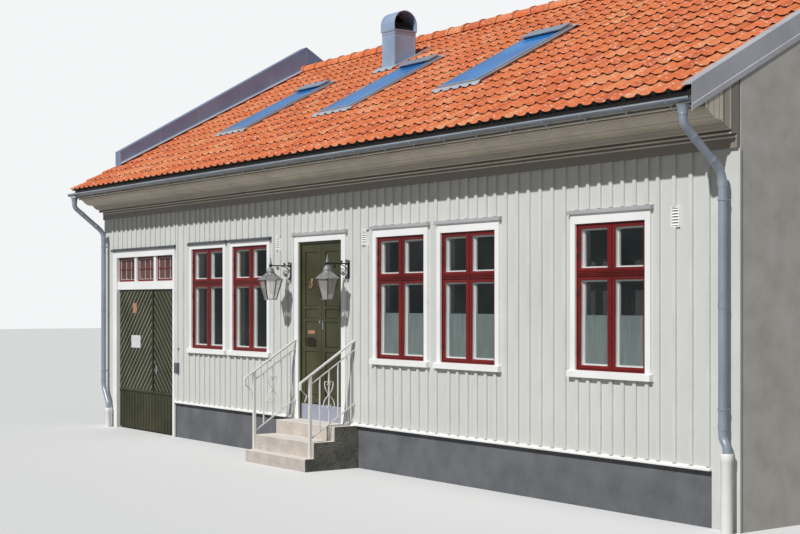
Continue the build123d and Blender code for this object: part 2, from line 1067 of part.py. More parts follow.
def railing(line, seat):
    """Stair railing: handrail with a returned end, two thin rails, a post and scrolled balusters.

    seat is how far the surface that carries its wall end stands out from the wall face.
    """
    slope = handrail_fall / handrail_end

    def on_slope(reach, drop):
        return (street(reach), above(handrail_head - reach * slope - drop))

    turned_end = on_slope(handrail_end, handrail_return)
    returned = on_slope(handrail_end, handrail_return + return_drop)[1]
    handrail_path = (on_slope(0, 0), on_slope(handrail_end, 0), turned_end)
    return_path = (
        on_slope(handrail_end, handrail_return - return_bar),
        (street(handrail_end - return_back), returned),
        (street(handrail_end - 2 * return_back / 3), returned - return_drop),
    )
    bar(handrail_path, (handrail_width, handrail_thickness), line, handrail_bend)
    bar(return_path, (return_bar, return_bar), line)
    for drop in (thin_rail_drop, foot_rail_drop):
        bar((on_slope(0, drop), on_slope(post_reach, drop)), (thin_rail, thin_rail), line)
    block(
        line - railing_post / 2,
        line + railing_post / 2,
        street(post_reach + railing_post / 2),
        street(post_reach - railing_post / 2),
        above(slab_level),
        above(handrail_head - post_reach * slope),
    )
    for number in range(baluster_count):
        reach = baluster_first + number * baluster_pitch
        ends = (on_slope(reach, thin_rail_drop), on_slope(reach, foot_rail_drop))
        bar(ends, (baluster, baluster), line)
    scroll_y, collar_z = on_slope(baluster_first + scroll_baluster * baluster_pitch, collar_drop)
    block(
        line - collar_width / 2,
        line + collar_width / 2,
        scroll_y - collar_width / 2,
        scroll_y + collar_width / 2,
        collar_z - collar_height / 2,
        collar_z + collar_height / 2,
    )
    for up, reach, rise, lobe in (
        (1, upper_scroll_reach, upper_scroll_rise, upper_lobe),
        (-1, lower_scroll_reach, lower_scroll_rise, lower_lobe),
    ):
        scroll_pair(line, scroll_y, collar_z + up * collar_height / 2, up, reach, rise, lobe)
    block(
        line - handrail_width,
        line + handrail_width,
        street(seat),
        street(-wall_thickness),
        plinth_height,
        above(2 * handrail_head),
        mode=Mode.SUBTRACT,
    )


with BuildPart() as railings:
    railing(station(left_railing), casing_thickness)
    railing(station(right_railing), 0)


# Lanterns on wall brackets
def six_sided(x, turn, foot, foot_radius, head, head_radius):
    """Six-sided body on a lantern's axis."""
    return many_sided(x, street(lantern_axis), 6, turn, foot, foot_radius, head, head_radius)


def round_piece(x, foot, foot_radius, head, head_radius):
    """Turned piece on a lantern's axis, with few sides."""
    y = street(lantern_axis)
    return many_sided(x, y, small_round_sides, 0, foot, foot_radius, head, head_radius)


def corner_bar(x, angle):
    """Slender bar up one corner of a lantern, from its base to its eaves."""
    outwards = (cos(radians(angle)), sin(radians(angle)))
    foot_radius = lantern_foot_radius - lantern_bar / 2
    spread = lantern_eaves_radius - lantern_foot_radius
    rise = lantern_eaves - lantern_foot
    slant = Vector(outwards[0] * spread, outwards[1] * spread, rise)
    foot = (x + outwards[0] * foot_radius, street(lantern_axis) + outwards[1] * foot_radius)
    with BuildSketch(Plane(origin=(foot[0], foot[1], above(lantern_foot)))) as outline:
        Rectangle(lantern_bar, lantern_bar, rotation=angle)
    extrude(outline.sketch, amount=slant.length, dir=slant.normalized())


# The ring fills the corner between the arm, the plate and the quarter-round brace
brace_ring_inset = lantern_brace_reach * (2**0.5 - 1) / (2**0.5 + 1)
brace_ring_radius = brace_ring_inset + lantern_brace_bar / 3
lantern_eye_foot = lantern_arm_level - lantern_eye_height / 2
lantern_eye_head = lantern_arm_level + lantern_eye_height / 2

with BuildPart() as lantern_brackets:
    for lantern_middle in lantern_middles:
        lantern_x = station(lantern_middle)
        corner_y = street(lantern_plate_thickness)
        corner_z = above(lantern_arm_level) - lantern_arm_bar / 2
        plate_level = lantern_arm_level + lantern_plate_head - lantern_plate_height / 2
        with BuildSketch(facing_street(street(0))) as wall_plate:
            with Locations((lantern_x, above(plate_level))):
                Rectangle(lantern_plate_width, lantern_plate_height)
            chamfer(wall_plate.vertices(), lantern_plate_corner)
        extrude(amount=lantern_plate_thickness)
        block(
            lantern_x - lantern_arm_bar / 2,
            lantern_x + lantern_arm_bar / 2,
            street(lantern_axis),
            corner_y,
            corner_z,
            corner_z + lantern_arm_bar,
        )
        add(
            round_piece(
                lantern_x,
                lantern_eye_foot,
                lantern_eye_radius,
                lantern_eye_head,
                lantern_eye_radius,
            )
        )
        with BuildSketch(Plane.YZ.offset(lantern_x - lantern_brace_bar / 2)):
            with BuildLine():
                RadiusArc(
                    (corner_y, corner_z - lantern_brace_reach),
                    (corner_y - lantern_brace_reach, corner_z),
                    -lantern_brace_reach,
                )
            trace(line_width=lantern_brace_bar)
            with Locations((corner_y - brace_ring_inset, corner_z - brace_ring_inset)):
                RegularPolygon(brace_ring_radius, small_round_sides)
                RegularPolygon(
                    brace_ring_radius - lantern_brace_bar,
                    small_round_sides,
                    mode=Mode.SUBTRACT,
                )
        extrude(amount=lantern_brace_bar)
        add(
            round_piece(
                lantern_x,
                lantern_eye_foot,
                lantern_neck_radius,
                lantern_eye_head,
                lantern_neck_radius,
            ),
            mode=Mode.SUBTRACT,
        )

with BuildPart() as lantern_heads:
    for lantern_middle, lantern_turn in zip(lantern_middles, lantern_turns):
        lantern_x = station(lantern_middle)
        base_radius = lantern_foot_radius + lantern_eaves_lip / 2
        lip_radius = lantern_eaves_radius + lantern_eaves_lip
        base_foot = lantern_foot - lantern_base_height
        cap_foot = lantern_eaves + lantern_roof_rise
        neck_foot = cap_foot + lantern_cap_height
        spire_head = lantern_eye_head + lantern_spire_height
        add(six_sided(lantern_x, lantern_turn, base_foot, base_radius, lantern_foot, base_radius))
        add(
            six_sided(
                lantern_x,
                lantern_turn,
                lantern_eaves,
                lip_radius,
                cap_foot,
                lantern_cap_radius,
            )
        )
        for corner in range(6):
            corner_bar(lantern_x, lantern_turn + corner * 60)
        for foot, foot_radius, head, head_radius in (
            (cap_foot, lantern_cap_radius, neck_foot, lantern_neck_radius),
            (neck_foot, lantern_neck_radius, lantern_eye_head, lantern_neck_radius),
            (lantern_eye_head, lantern_eye_radius, spire_head, lantern_neck_radius / 4),
        ):
            add(round_piece(lantern_x, foot, foot_radius, head, head_radius))

with BuildPart() as lantern_glass:
    for lantern_middle, lantern_turn in zip(lantern_middles, lantern_turns):
        for pane_inset, pane_mode in (
            (lantern_bar, Mode.ADD),
            (lantern_bar + lantern_pane / cos(radians(30)), Mode.SUBTRACT),
        ):
            pane_body = six_sided(
                station(lantern_middle),
                lantern_turn,
                lantern_foot,
                lantern_foot_radius - pane_inset,
                lantern_eaves,
                lantern_eaves_radius - pane_inset,
            )
            add(pane_body, mode=pane_mode)


# Eaves: moulded cornices under the roof overhang
def cornice(reach_to_y):
    """Boxed eaves that fill the corner between wall, deck and fascia, with a moulded underside."""

    def at(reach, drop):
        return (reach_to_y(reach), above(fascia_foot - drop))

    def swell(start, end):
        bulge = (end[0] - start[0]) / 8
        middle = ((start[0] + end[0]) / 2 + bulge, (start[1] + end[1]) / 2 + bulge)
        ThreePointArc(at(*start), at(*middle), at(*end))

    bead_foot = (bed_board_reach, bead_drop)
    bead_head = (bead_reach, bead_head_drop)
    ovolo_foot = (bead_reach + ovolo_quirk, ovolo_drop)
    ovolo_head = (ovolo_reach, ovolo_head_drop)
    fascia_back = fascia_reach - fascia_thickness
    face_y = reach_to_y(fascia_reach)
    back_y = reach_to_y(fascia_back)
    with BuildSketch(Plane.YZ.offset(left_end + verge_sheet)) as outline:
        with BuildLine():
            Polyline(
                at(0, frieze_foot_drop),
                at(frieze_thickness, frieze_foot_drop),
                at(frieze_thickness, bed_board_drop),
                at(bed_board_reach, bed_board_drop),
                at(*bead_foot),
            )
            swell(bead_foot, bead_head)
            Polyline(at(*bead_head), at(bead_reach + ovolo_quirk, bead_head_drop), at(*ovolo_foot))
            swell(ovolo_foot, ovolo_head)
            Polyline(
                at(*ovolo_head),
                at(ovolo_reach, corona_drop),
                at(corona_reach, corona_drop),
                at(corona_reach, -fascia_groove_rise),
                at(fascia_back, -fascia_groove_rise),
                at(fascia_back, 0),
                at(fascia_reach, 0),
                (face_y, roof_line(face_y, tile_drop)),
                (back_y, roof_line(back_y, tile_drop)),
                (back_y, roof_line(back_y, deck_drop)),
                (reach_to_y(0), roof_line(reach_to_y(0), deck_drop)),
                at(0, frieze_foot_drop),
            )
        make_face()
    extrude(outline.sketch, amount=house_length - 2 * verge_sheet)


with BuildPart() as cornices:
    cornice(street)
    cornice(yard)


# Water boards over the plinths, with a sloping top, and corner boards at the party lines
def water_board(x0, x1, reach_to_y):
    """Board along the foot of a wall that throws the rain clear of the plinth."""
    prism(
        (
            (reach_to_y(0), plinth_height),
            (reach_to_y(water_board_reach), plinth_height),
            (reach_to_y(water_board_reach), above(water_board_nose)),
            (reach_to_y(0), above(water_board_height)),
        ),
        x0,
        x1,
    )


with BuildPart() as water_boards:
    water_board(gate_x1 + gate_right_casing, door_x0 - door_casing_width, street)
    water_board(door_x1 + door_casing_width, party_right_inner, street)
    water_board(party_left_inner, party_right_inner, yard)

with BuildPart() as corner_boards:
    for corner_x0, corner_x1 in ((left_end, party_left_inner), (party_right_inner, right_end)):
        for corner_side in (street, yard):
            block(
                corner_x0,
                corner_x1,
                corner_side(-board_thickness),
                corner_side(0),
                0,
                above(frieze_foot),
            )


# Roof deck and tile courses
def roof_slab(eave_y, top_drop, bottom_drop, x0, x1):
    """A sloping slab from the eave to the ridge."""
    prism(
        (
            (eave_y, roof_line(eave_y, top_drop)),
            (centre_shift, roof_line(centre_shift, top_drop)),
            (centre_shift, roof_line(centre_shift, bottom_drop)),
            (eave_y, roof_line(eave_y, bottom_drop)),
        ),
        x0,
        x1,
    )


def tile_slab(reach_to_y, x0, x1):
    """Tiles of one slope: each course leans on the one below it, lifted at its lower edge."""
    eave_y = reach_to_y(eave_reach)
    outline = [(eave_y, roof_line(eave_y, tile_drop))]
    for course in range(course_count):
        foot_y = reach_to_y(eave_reach - course * course_run)
        head_y = reach_to_y(eave_reach - (course + 1) * course_run)
        outline.append((foot_y, roof_line(foot_y)))
        outline.append((head_y, roof_line(head_y, tile_lean)))
    outline.append((centre_shift, roof_line(centre_shift, tile_drop)))
    prism(outline, x0, x1)


roof_slope = Plane(
    origin=(0, street(eave_reach), above(eave_height)),
    x_dir=(1, 0, 0),
    z_dir=(0, -sin(radians(roof_pitch)), cos(radians(roof_pitch))),
)


def up_slope(reach):
    """Distance up the street slope from the eave to a point this far behind the wall face."""
    return (eave_reach + reach) / cos(radians(roof_pitch))


def on_roof(x0, x1, foot, head, low, high, mode=Mode.ADD):
    """A block square to the street roof: foot and head run up the slope from the eave."""
    with BuildSketch(roof_slope.offset(low)) as outline:
        with Locations(((x0 + x1) / 2, (foot + head) / 2)):
            Rectangle(x1 - x0, head - foot)
    extrude(outline.sketch, amount=high - low, mode=mode)


def cut_roof_windows():
    """Cut the holes for the roof windows through a slab of the street roof."""
    for left in roof_window_lefts:
        on_roof(
            station(left),
            station(left) + roof_window_width,
            roof_window_foot,
            roof_window_foot + roof_window_length,
            -2 * deck_thickness,
            tile_thickness,
            mode=Mode.SUBTRACT,
        )


deck_x0 = left_end + verge_sheet
deck_x1 = right_end - verge_sheet
stack_x0 = station(stack_left)
stack_x1 = stack_x0 + stack_width
stack_y0 = street(-stack_front)
stack_y1 = street(-stack_front - stack_depth)
stack_head = roof_line(stack_y1) + stack_rise

with BuildPart() as roof_deck_front:
    roof_slab(street(fascia_reach - fascia_thickness), tile_drop, deck_drop, deck_x0, deck_x1)
    cut_roof_windows()

with BuildPart() as roof_deck_rear:
    roof_slab(yard(fascia_reach - fascia_thickness), tile_drop, deck_drop, deck_x0, deck_x1)

with BuildPart() as tiles_front:
    tile_slab(street, deck_x0, deck_x1)
    cut_roof_windows()
    block(stack_x0, stack_x1, stack_y0, stack_y1, plinth_height, ridge_level, mode=Mode.SUBTRACT)
    block(
        deck_x0,
        left_end + upstand_width,
        street(-upstand_start),
        centre_shift,
        plinth_height,
        ridge_level,
        mode=Mode.SUBTRACT,
    )

with BuildPart() as tiles_rear:
    tile_slab(yard, deck_x0, deck_x1)
    block(
        deck_x0,
        left_end + upstand_width,
        centre_shift,
        yard(-upstand_start),
        plinth_height,
        ridge_level,
        mode=Mode.SUBTRACT,
    )

with BuildPart() as ridge_tiles:
    ridge_half = ridge_tile_width / 2
    foot_lean = tile_lean * (1 - ridge_half / course_run)
    ridge_foot = (centre_shift - ridge_half, roof_line(centre_shift - ridge_half, foot_lean))
    ridge_far_foot = (centre_shift + ridge_half, roof_line(centre_shift + ridge_half, foot_lean))
    with BuildSketch(Plane.YZ.offset(left_end + upstand_width)):
        with BuildLine():
            Polyline(ridge_foot, (centre_shift, ridge_level - tile_lean), ridge_far_foot)
            ThreePointArc(ridge_foot, (centre_shift, ridge_level + ridge_tile_rise), ridge_far_foot)
        make_face()
    extrude(amount=house_length - verge_cap_width - upstand_width)


def upstand_strip(foot_y, x0, x1, drop):
    """Sheet metal wall along one slope: it stands higher over the tiles towards the ridge."""
    prism(
        (
            (foot_y, roof_line(foot_y, -upstand_foot_rise)),
            (centre_shift, ridge_level + upstand_head_rise),
            (centre_shift, roof_line(centre_shift, drop)),
            (foot_y, roof_line(foot_y, drop)),
        ),
        x0,
        x1,
    )


with BuildPart() as upstand_left:
    for slope_foot in (street(-upstand_start), yard(-upstand_start)):
        upstand_strip(slope_foot, deck_x0, left_end + upstand_width, tile_drop)
        upstand_strip(slope_foot, left_end, deck_x0, deck_drop)

with BuildPart() as verge_right:
    for slope_foot in (street(eave_reach), yard(eave_reach)):
        roof_slab(slope_foot, -verge_cap_rise, 0, right_end - verge_cap_width, deck_x1)
        roof_slab(slope_foot, -verge_cap_rise, verge_drop, deck_x1, right_end)

# Roof windows: ring, hood and the apron that lies over the tiles below
with BuildPart() as roof_window_frames:
    for window_left in roof_window_lefts:
        frame_x0 = station(window_left)
        frame_x1 = frame_x0 + roof_window_width
        frame_foot = roof_window_foot
        frame_head = roof_window_foot + roof_window_length
        ring_foot = -tile_thickness - deck_thickness
        on_roof(frame_x0, frame_x1, frame_foot, frame_head, ring_foot, roof_window_proud)
        on_roof(
            frame_x0 + roof_window_ring,
            frame_x1 - roof_window_ring,
            frame_foot + roof_window_ring,
            frame_head - roof_window_ring,
            -2 * deck_thickness,
            2 * roof_window_proud,
            mode=Mode.SUBTRACT,
        )
        on_roof(
            frame_x0,
            frame_x1,
            frame_head - roof_window_hood,
            frame_head,
            roof_window_proud,
            roof_window_proud + roof_window_hood_rise,
        )
        on_roof(
            frame_x0 - apron_overhang,
            frame_x1 + apron_overhang,
            frame_foot - apron_length,
            frame_foot,
            0,
            apron_sheet,
        )

with BuildPart() as roof_window_glass:
    for window_left in roof_window_lefts:
        frame_x0 = station(window_left)
        on_roof(
            frame_x0 + roof_window_ring,
            frame_x0 + roof_window_width - roof_window_ring,
            roof_window_foot + roof_window_ring,
            roof_window_foot + roof_window_length - roof_window_ring,
            roof_window_proud / 2,
            roof_window_proud / 2 + glass_thickness,
        )

# Vent stack with its flashing, under a barrel cowl
with BuildPart() as vent_stack:
    prism(
        (
            (stack_y0, roof_line(stack_y0, tile_drop)),
            (stack_y1, roof_line(stack_y1, tile_drop)),
            (stack_y1, stack_head),
            (stack_y0, stack_head),
        ),
        stack_x0,
        stack_x1,
    )
    on_roof(
        stack_x0 - stack_flashing,
        stack_x1 + stack_flashing,
        up_slope(stack_front) - stack_flashing,
        up_slope(stack_front + stack_depth) + stack_flashing,
        0,
        apron_sheet,
    )


def barrel(half_width, foot, x0, x1, mode=Mode.ADD):
    """Upright sides under a half-round head, carried across the stack."""
    middle = (stack_y0 + stack_y1) / 2
    shoulder = stack_head + cowl_rise - cowl_half
    with BuildSketch(Plane.YZ.offset(x0)) as outline:
        with BuildLine():
            Polyline(
                (middle - half_width, shoulder),
                (middle - half_width, foot),
                (middle + half_width, foot),
                (middle + half_width, shoulder),
            )
            ThreePointArc(
                (middle - half_width, shoulder),
                (middle, shoulder + half_width),
                (middle + half_width, shoulder),
            )
        make_face()
    extrude(outline.sketch, amount=x1 - x0, mode=mode)


cowl_half = stack_depth / 2 + cowl_overhang
cowl_x0 = stack_x0 - cowl_overhang
cowl_x1 = stack_x1 + cowl_overhang

with BuildPart() as vent_cowl:
    barrel(cowl_half, stack_head, cowl_x0, cowl_x1)
    barrel(cowl_half - cowl_sheet, stack_head + cowl_sheet, cowl_x0, cowl_x1, mode=Mode.SUBTRACT)


# Gutters with brackets on the fascia
def half_round(centre, radius, x0, x1, mode=Mode.ADD):
    """The lower half of a round bar along X."""
    with BuildSketch(Plane.YZ.offset(x0)) as outline:
        with Locations(centre):
            Circle(radius)
        with Locations((centre[0], centre[1] + radius)):
            Rectangle(2 * radius, 2 * radius, mode=Mode.SUBTRACT)
    extrude(outline.sketch, amount=x1 - x0, mode=mode)


gutter_level = above(eave_height - gutter_drop)


def gutter(reach_to_y):
    """Half-round gutter, closed at both ends and carried by strap brackets."""
    centre = (reach_to_y(eave_reach), gutter_level)
    inner_lip = reach_to_y(eave_reach - gutter_radius + gutter_sheet)
    fascia_y = reach_to_y(fascia_reach)
    half_round(centre, gutter_radius, deck_x0, deck_x1)
    half_round(
        centre,
        gutter_radius - gutter_sheet,
        deck_x0 + gutter_sheet,
        deck_x1 - gutter_sheet,
        Mode.SUBTRACT,
    )
    count = int((deck_x1 - deck_x0) / bracket_spacing)
    for index in range(count):
        bracket_x = deck_x0 + (deck_x1 - deck_x0) * (index + 0.5) / count
        block(
            bracket_x - bracket_width / 2,
            bracket_x + bracket_width / 2,
            min(inner_lip, fascia_y),
            max(inner_lip, fascia_y),
            gutter_level - 2 * gutter_sheet,
            gutter_level,
        )


with BuildPart() as gutters:
    gutter(street)
    gutter(yard)


# Downpipes: a funnel under the gutter, a swan neck, two wall clips and a cranked foot
def downpipe(x, reach_to_y, shift, foot):
    """Round pipe from the gutter, back to the wall, down it and sideways into its ground pipe."""
    wall_reach = downpipe_gap + downpipe_radius
    gutter_y = reach_to_y(eave_reach)
    wall_y = reach_to_y(wall_reach)
    head = gutter_level - gutter_radius - outlet_height
    neck_head = head - swan_neck_drop
    neck_foot = neck_head - swan_neck_height
    bend_foot = foot + foot_bend_length
    bend_head = bend_foot + abs(shift) / foot_bend_slope
    with BuildLine() as route:
        Polyline(
            (x, gutter_y, head),
            (x, gutter_y, neck_head),
            (x, wall_y, neck_foot),
            (x, wall_y, bend_head),
            (x + shift, wall_y, bend_foot),
            (x + shift, wall_y, foot),
        )
    with BuildSketch(Plane(origin=(x, gutter_y, head), z_dir=(0, 0, -1))) as section:
        RegularPolygon(downpipe_radius, pipe_sides)
    sweep(section.sketch, path=route.line, transition=Transition.RIGHT)
    funnel_foot = head - plinth_height
    funnel_head = gutter_level - plinth_height
    add(many_sided(x, gutter_y, pipe_sides, 0, funnel_foot, downpipe_radius, funnel_head, outlet_radius))
    half_round((gutter_y, gutter_level), gutter_radius, x - gutter_radius, x + gutter_radius, Mode.SUBTRACT)
    for clip in (bend_head + clip_inset, neck_foot - clip_inset):
        block(
            x - bracket_width / 2,
            x + bracket_width / 2,
            min(reach_to_y(0), wall_y),
            max(reach_to_y(0), wall_y),
            clip,
            clip + bracket_width,
        )


pipe_places = (
    (station(gate_pipe_inset), street, gate_pipe_shift, gate_pipe_foot),
    (right_end - downpipe_inset, street, end_pipe_shift, end_pipe_foot),
    (station(downpipe_inset), yard, -end_pipe_shift, end_pipe_foot),
    (right_end - downpipe_inset, yard, end_pipe_shift, end_pipe_foot),
)

with BuildPart() as downpipes:
    for pipe_x, pipe_side, pipe_shift, pipe_foot in pipe_places:
        downpipe(pipe_x, pipe_side, pipe_shift, pipe_foot)

with BuildPart() as ground_pipes:
    for pipe_x, pipe_side, pipe_shift, pipe_foot in pipe_places:
        with BuildSketch() as ground_ring:
            with Locations((pipe_x + pipe_shift, pipe_side(downpipe_gap + downpipe_radius))):
                RegularPolygon(ground_pipe_radius, pipe_sides)
        extrude(ground_ring.sketch, amount=pipe_foot)

# Louvred wall vents
with BuildPart() as wall_vents:
    for vent_middle in vent_middles:
        vent_x = station(vent_middle)
        block(
            vent_x - vent_width / 2,
            vent_x + vent_width / 2,
            street(vent_proud),
            street(0),
            above(vent_foot),
            above(vent_foot + vent_height),
        )
        slot_pitch = (vent_height - 2 * vent_frame) / louvre_count
        for slot in range(louvre_count):
            slot_foot = above(vent_foot) + vent_frame + (slot + 0.25) * slot_pitch
            block(
                vent_x - vent_width / 2 + vent_frame,
                vent_x + vent_width / 2 - vent_frame,
                street(vent_proud),
                street(vent_proud - louvre_depth),
                slot_foot,
                slot_foot + slot_pitch / 2,
                mode=Mode.SUBTRACT,
            )

# Names and files
plinths.part.label = "plinths"
export_step(plinths.part, "parts/plinths.step")
passage_foundation.part.label = "passage_foundation"
export_step(passage_foundation.part, "parts/passage_foundation.step")
party_walls.part.label = "party_walls"
export_step(party_walls.part, "parts/party_walls.step")
front_wall_at_gate.part.label = "front_wall_at_gate"
export_step(front_wall_at_gate.part, "parts/front_wall_at_gate.step")
front_wall_over_gate.part.label = "front_wall_over_gate"
export_step(front_wall_over_gate.part, "parts/front_wall_over_gate.step")
front_wall_left.part.label = "front_wall_left"
export_step(front_wall_left.part, "parts/front_wall_left.step")
front_wall_over_door.part.label = "front_wall_over_door"
export_step(front_wall_over_door.part, "parts/front_wall_over_door.step")
front_wall_right.part.label = "front_wall_right"
export_step(front_wall_right.part, "parts/front_wall_right.step")
rear_wall.part.label = "rear_wall"
export_step(rear_wall.part, "parts/rear_wall.step")
ground_floor.part.label = "ground_floor"
export_step(ground_floor.part, "parts/ground_floor.step")
attic_floor.part.label = "attic_floor"
export_step(attic_floor.part, "parts/attic_floor.step")
window_frames.part.label = "window_frames"
export_step(window_frames.part, "parts/window_frames.step")
window_glass.part.label = "window_glass"
export_step(window_glass.part, "parts/window_glass.step")
window_casings.part.label = "window_casings"
export_step(window_casings.part, "parts/window_casings.step")
gate_frame.part.label = "gate_frame"
export_step(gate_frame.part, "parts/gate_frame.step")
gate_transom_sashes.part.label = "gate_transom_sashes"
export_step(gate_transom_sashes.part, "parts/gate_transom_sashes.step")
gate_transom_glass.part.label = "gate_transom_glass"
export_step(gate_transom_glass.part, "parts/gate_transom_glass.step")
gate_leaf_left.part.label = "gate_leaf_left"
export_step(gate_leaf_left.part, "parts/gate_leaf_left.step")
gate_leaf_right.part.label = "gate_leaf_right"
export_step(gate_leaf_right.part, "parts/gate_leaf_right.step")
gate_handle.part.label = "gate_handle"
export_step(gate_handle.part, "parts/gate_handle.step")
door_frame.part.label = "door_frame"
export_step(door_frame.part, "parts/door_frame.step")
door_casing.part.label = "door_casing"
export_step(door_casing.part, "parts/door_casing.step")
door_threshold.part.label = "door_threshold"
export_step(door_threshold.part, "parts/door_threshold.step")
door_leaf_left.part.label = "door_leaf_left"
export_step(door_leaf_left.part, "parts/door_leaf_left.step")
door_leaf_right.part.label = "door_leaf_right"
export_step(door_leaf_right.part, "parts/door_leaf_right.step")
door_fittings.part.label = "door_fittings"
export_step(door_fittings.part, "parts/door_fittings.step")
door_handle.part.label = "door_handle"
export_step(door_handle.part, "parts/door_handle.step")
landing.part.label = "landing"
export_step(landing.part, "parts/landing.step")
middle_step.part.label = "middle_step"
export_step(middle_step.part, "parts/middle_step.step")
bottom_step.part.label = "bottom_step"
export_step(bottom_step.part, "parts/bottom_step.step")
railings.part.label = "railings"
export_step(railings.part, "parts/railings.step")
lantern_brackets.part.label = "lantern_brackets"
export_step(lantern_brackets.part, "parts/lantern_brackets.step")
lantern_heads.part.label = "lantern_heads"
export_step(lantern_heads.part, "parts/lantern_heads.step")
lantern_glass.part.label = "lantern_glass"
export_step(lantern_glass.part, "parts/lantern_glass.step")
cornices.part.label = "cornices"
export_step(cornices.part, "parts/cornices.step")
water_boards.part.label = "water_boards"
export_step(water_boards.part, "parts/water_boards.step")
corner_boards.part.label = "corner_boards"
export_step(corner_boards.part, "parts/corner_boards.step")
roof_deck_front.part.label = "roof_deck_front"
export_step(roof_deck_front.part, "parts/roof_deck_front.step")
roof_deck_rear.part.label = "roof_deck_rear"
export_step(roof_deck_rear.part, "parts/roof_deck_rear.step")
tiles_front.part.label = "tiles_front"
export_step(tiles_front.part, "parts/tiles_front.step")
tiles_rear.part.label = "tiles_rear"
export_step(tiles_rear.part, "parts/tiles_rear.step")
ridge_tiles.part.label = "ridge_tiles"
export_step(ridge_tiles.part, "parts/ridge_tiles.step")
upstand_left.part.label = "upstand_left"
export_step(upstand_left.part, "parts/upstand_left.step")
verge_right.part.label = "verge_right"
export_step(verge_right.part, "parts/verge_right.step")
roof_window_frames.part.label = "roof_window_frames"
export_step(roof_window_frames.part, "parts/roof_window_frames.step")
roof_window_glass.part.label = "roof_window_glass"
export_step(roof_window_glass.part, "parts/roof_window_glass.step")
vent_stack.part.label = "vent_stack"
export_step(vent_stack.part, "parts/vent_stack.step")
vent_cowl.part.label = "vent_cowl"
export_step(vent_cowl.part, "parts/vent_cowl.step")
gutters.part.label = "gutters"
export_step(gutters.part, "parts/gutters.step")
downpipes.part.label = "downpipes"
export_step(downpipes.part, "parts/downpipes.step")
ground_pipes.part.label = "ground_pipes"
export_step(ground_pipes.part, "parts/ground_pipes.step")
wall_vents.part.label = "wall_vents"
export_step(wall_vents.part, "parts/wall_vents.step")
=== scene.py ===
# Timber town house with a boarded gate, a panelled door, stone steps and a pantiled roof.
# Everything is in metres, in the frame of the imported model: the street lies towards -Y.
import math
import random

import bmesh
import bpy
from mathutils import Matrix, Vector


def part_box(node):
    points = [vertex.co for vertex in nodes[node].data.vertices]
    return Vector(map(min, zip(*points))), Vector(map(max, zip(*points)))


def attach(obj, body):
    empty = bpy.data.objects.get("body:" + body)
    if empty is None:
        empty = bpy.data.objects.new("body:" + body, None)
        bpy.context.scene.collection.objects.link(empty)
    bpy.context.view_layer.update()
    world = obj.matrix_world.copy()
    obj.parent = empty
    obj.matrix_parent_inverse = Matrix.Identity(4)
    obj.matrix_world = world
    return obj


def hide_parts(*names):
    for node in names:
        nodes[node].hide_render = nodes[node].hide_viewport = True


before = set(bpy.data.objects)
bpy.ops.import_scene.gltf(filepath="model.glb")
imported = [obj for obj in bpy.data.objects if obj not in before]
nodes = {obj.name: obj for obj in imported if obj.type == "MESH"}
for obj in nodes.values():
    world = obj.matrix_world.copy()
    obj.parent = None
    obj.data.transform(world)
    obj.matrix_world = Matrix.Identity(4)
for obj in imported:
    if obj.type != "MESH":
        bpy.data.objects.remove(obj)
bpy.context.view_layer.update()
random.seed(41)

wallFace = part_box("front_wall_left")[0].y      # street face of the boarded wall
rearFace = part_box("rear_wall")[1].y            # yard face of the boarded wall
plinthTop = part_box("front_wall_left")[0].z
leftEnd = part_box("corner_boards")[0].x
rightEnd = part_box("corner_boards")[1].x
houseLength = rightEnd - leftEnd
acrossX, acrossY, upZ = Vector((1, 0, 0)), Vector((0, 1, 0)), Vector((0, 0, 1))
wallSides = ((wallFace, -1), (rearFace, 1))    # each wall's face, and which way is out along Y
print("frame loaded, wall face at", round(wallFace, 4))


def station(distance):
    return leftEnd + distance     # distance from the left party line


def above(height):
    return plinthTop + height     # height over the top of the plinth


def street(reach):
    return wallFace - reach       # reach out of the street wall, negative into it


# Making meshes
def joinRings(built, rings, closed=False):
    # skin between rings of as many corners each, with a lid on both ends
    count = len(rings[0])
    pairs = list(zip(rings, rings[1:]))
    if closed:
        pairs.append((rings[-1], rings[0]))
    for a, b in pairs:
        for i in range(count):
            j = (i + 1) % count
            built.faces.new((a[i], a[j], b[j], b[i]))
    if not closed:
        built.faces.new(rings[0][::-1])
        built.faces.new(rings[-1])


def circleVerts(built, centre, across, up, radius, sides):
    angles = [2 * math.pi * k / sides for k in range(sides)]
    return [built.verts.new(centre + (across * math.cos(a) + up * math.sin(a)) * radius) for a in angles]


def arc(radius, start, stop, steps):
    # points on an arc about the origin, between two angles in degrees
    angles = [math.radians(start + (stop - start) * k / steps) for k in range(steps + 1)]
    return [(radius * math.cos(a), radius * math.sin(a)) for a in angles]


def addPrism(built, section, start, end, across, up):
    # a closed section of (across, up) pairs carried from start to end
    joinRings(built, [[built.verts.new(spot + across * a + up * u) for a, u in section]
                      for spot in (start, end)])


def addBar(built, section, x0, x1, y, z, outwards=-1):
    # a closed (reach out of the wall, height) section carried along the house
    addPrism(built, section, Vector((x0, y, z)), Vector((x1, y, z)), acrossY * outwards, upZ)


def chamfered(width, depth, arris):
    # a board's section: flat back at 0, front at depth, with its front corners taken off
    half = width / 2
    return ((-half, 0), (half, 0), (half, depth - arris), (half - arris, depth),
            (-half + arris, depth), (-half, depth - arris))


def addCorners(built, corners, arris):
    # a box from eight corners: four below, counter-clockwise, then the four over them
    verts = [built.verts.new(c) for c in corners]
    sides = ((0, 3, 2, 1), (4, 5, 6, 7), (0, 1, 5, 4), (1, 2, 6, 5), (2, 3, 7, 6), (3, 0, 4, 7))
    made = [built.faces.new([verts[i] for i in side]) for side in sides]
    if arris:
        edges = list(dict.fromkeys(edge for face in made for edge in face.edges))
        bmesh.ops.bevel(built, geom=edges, offset=arris, segments=2, profile=0.5, affect="EDGES")


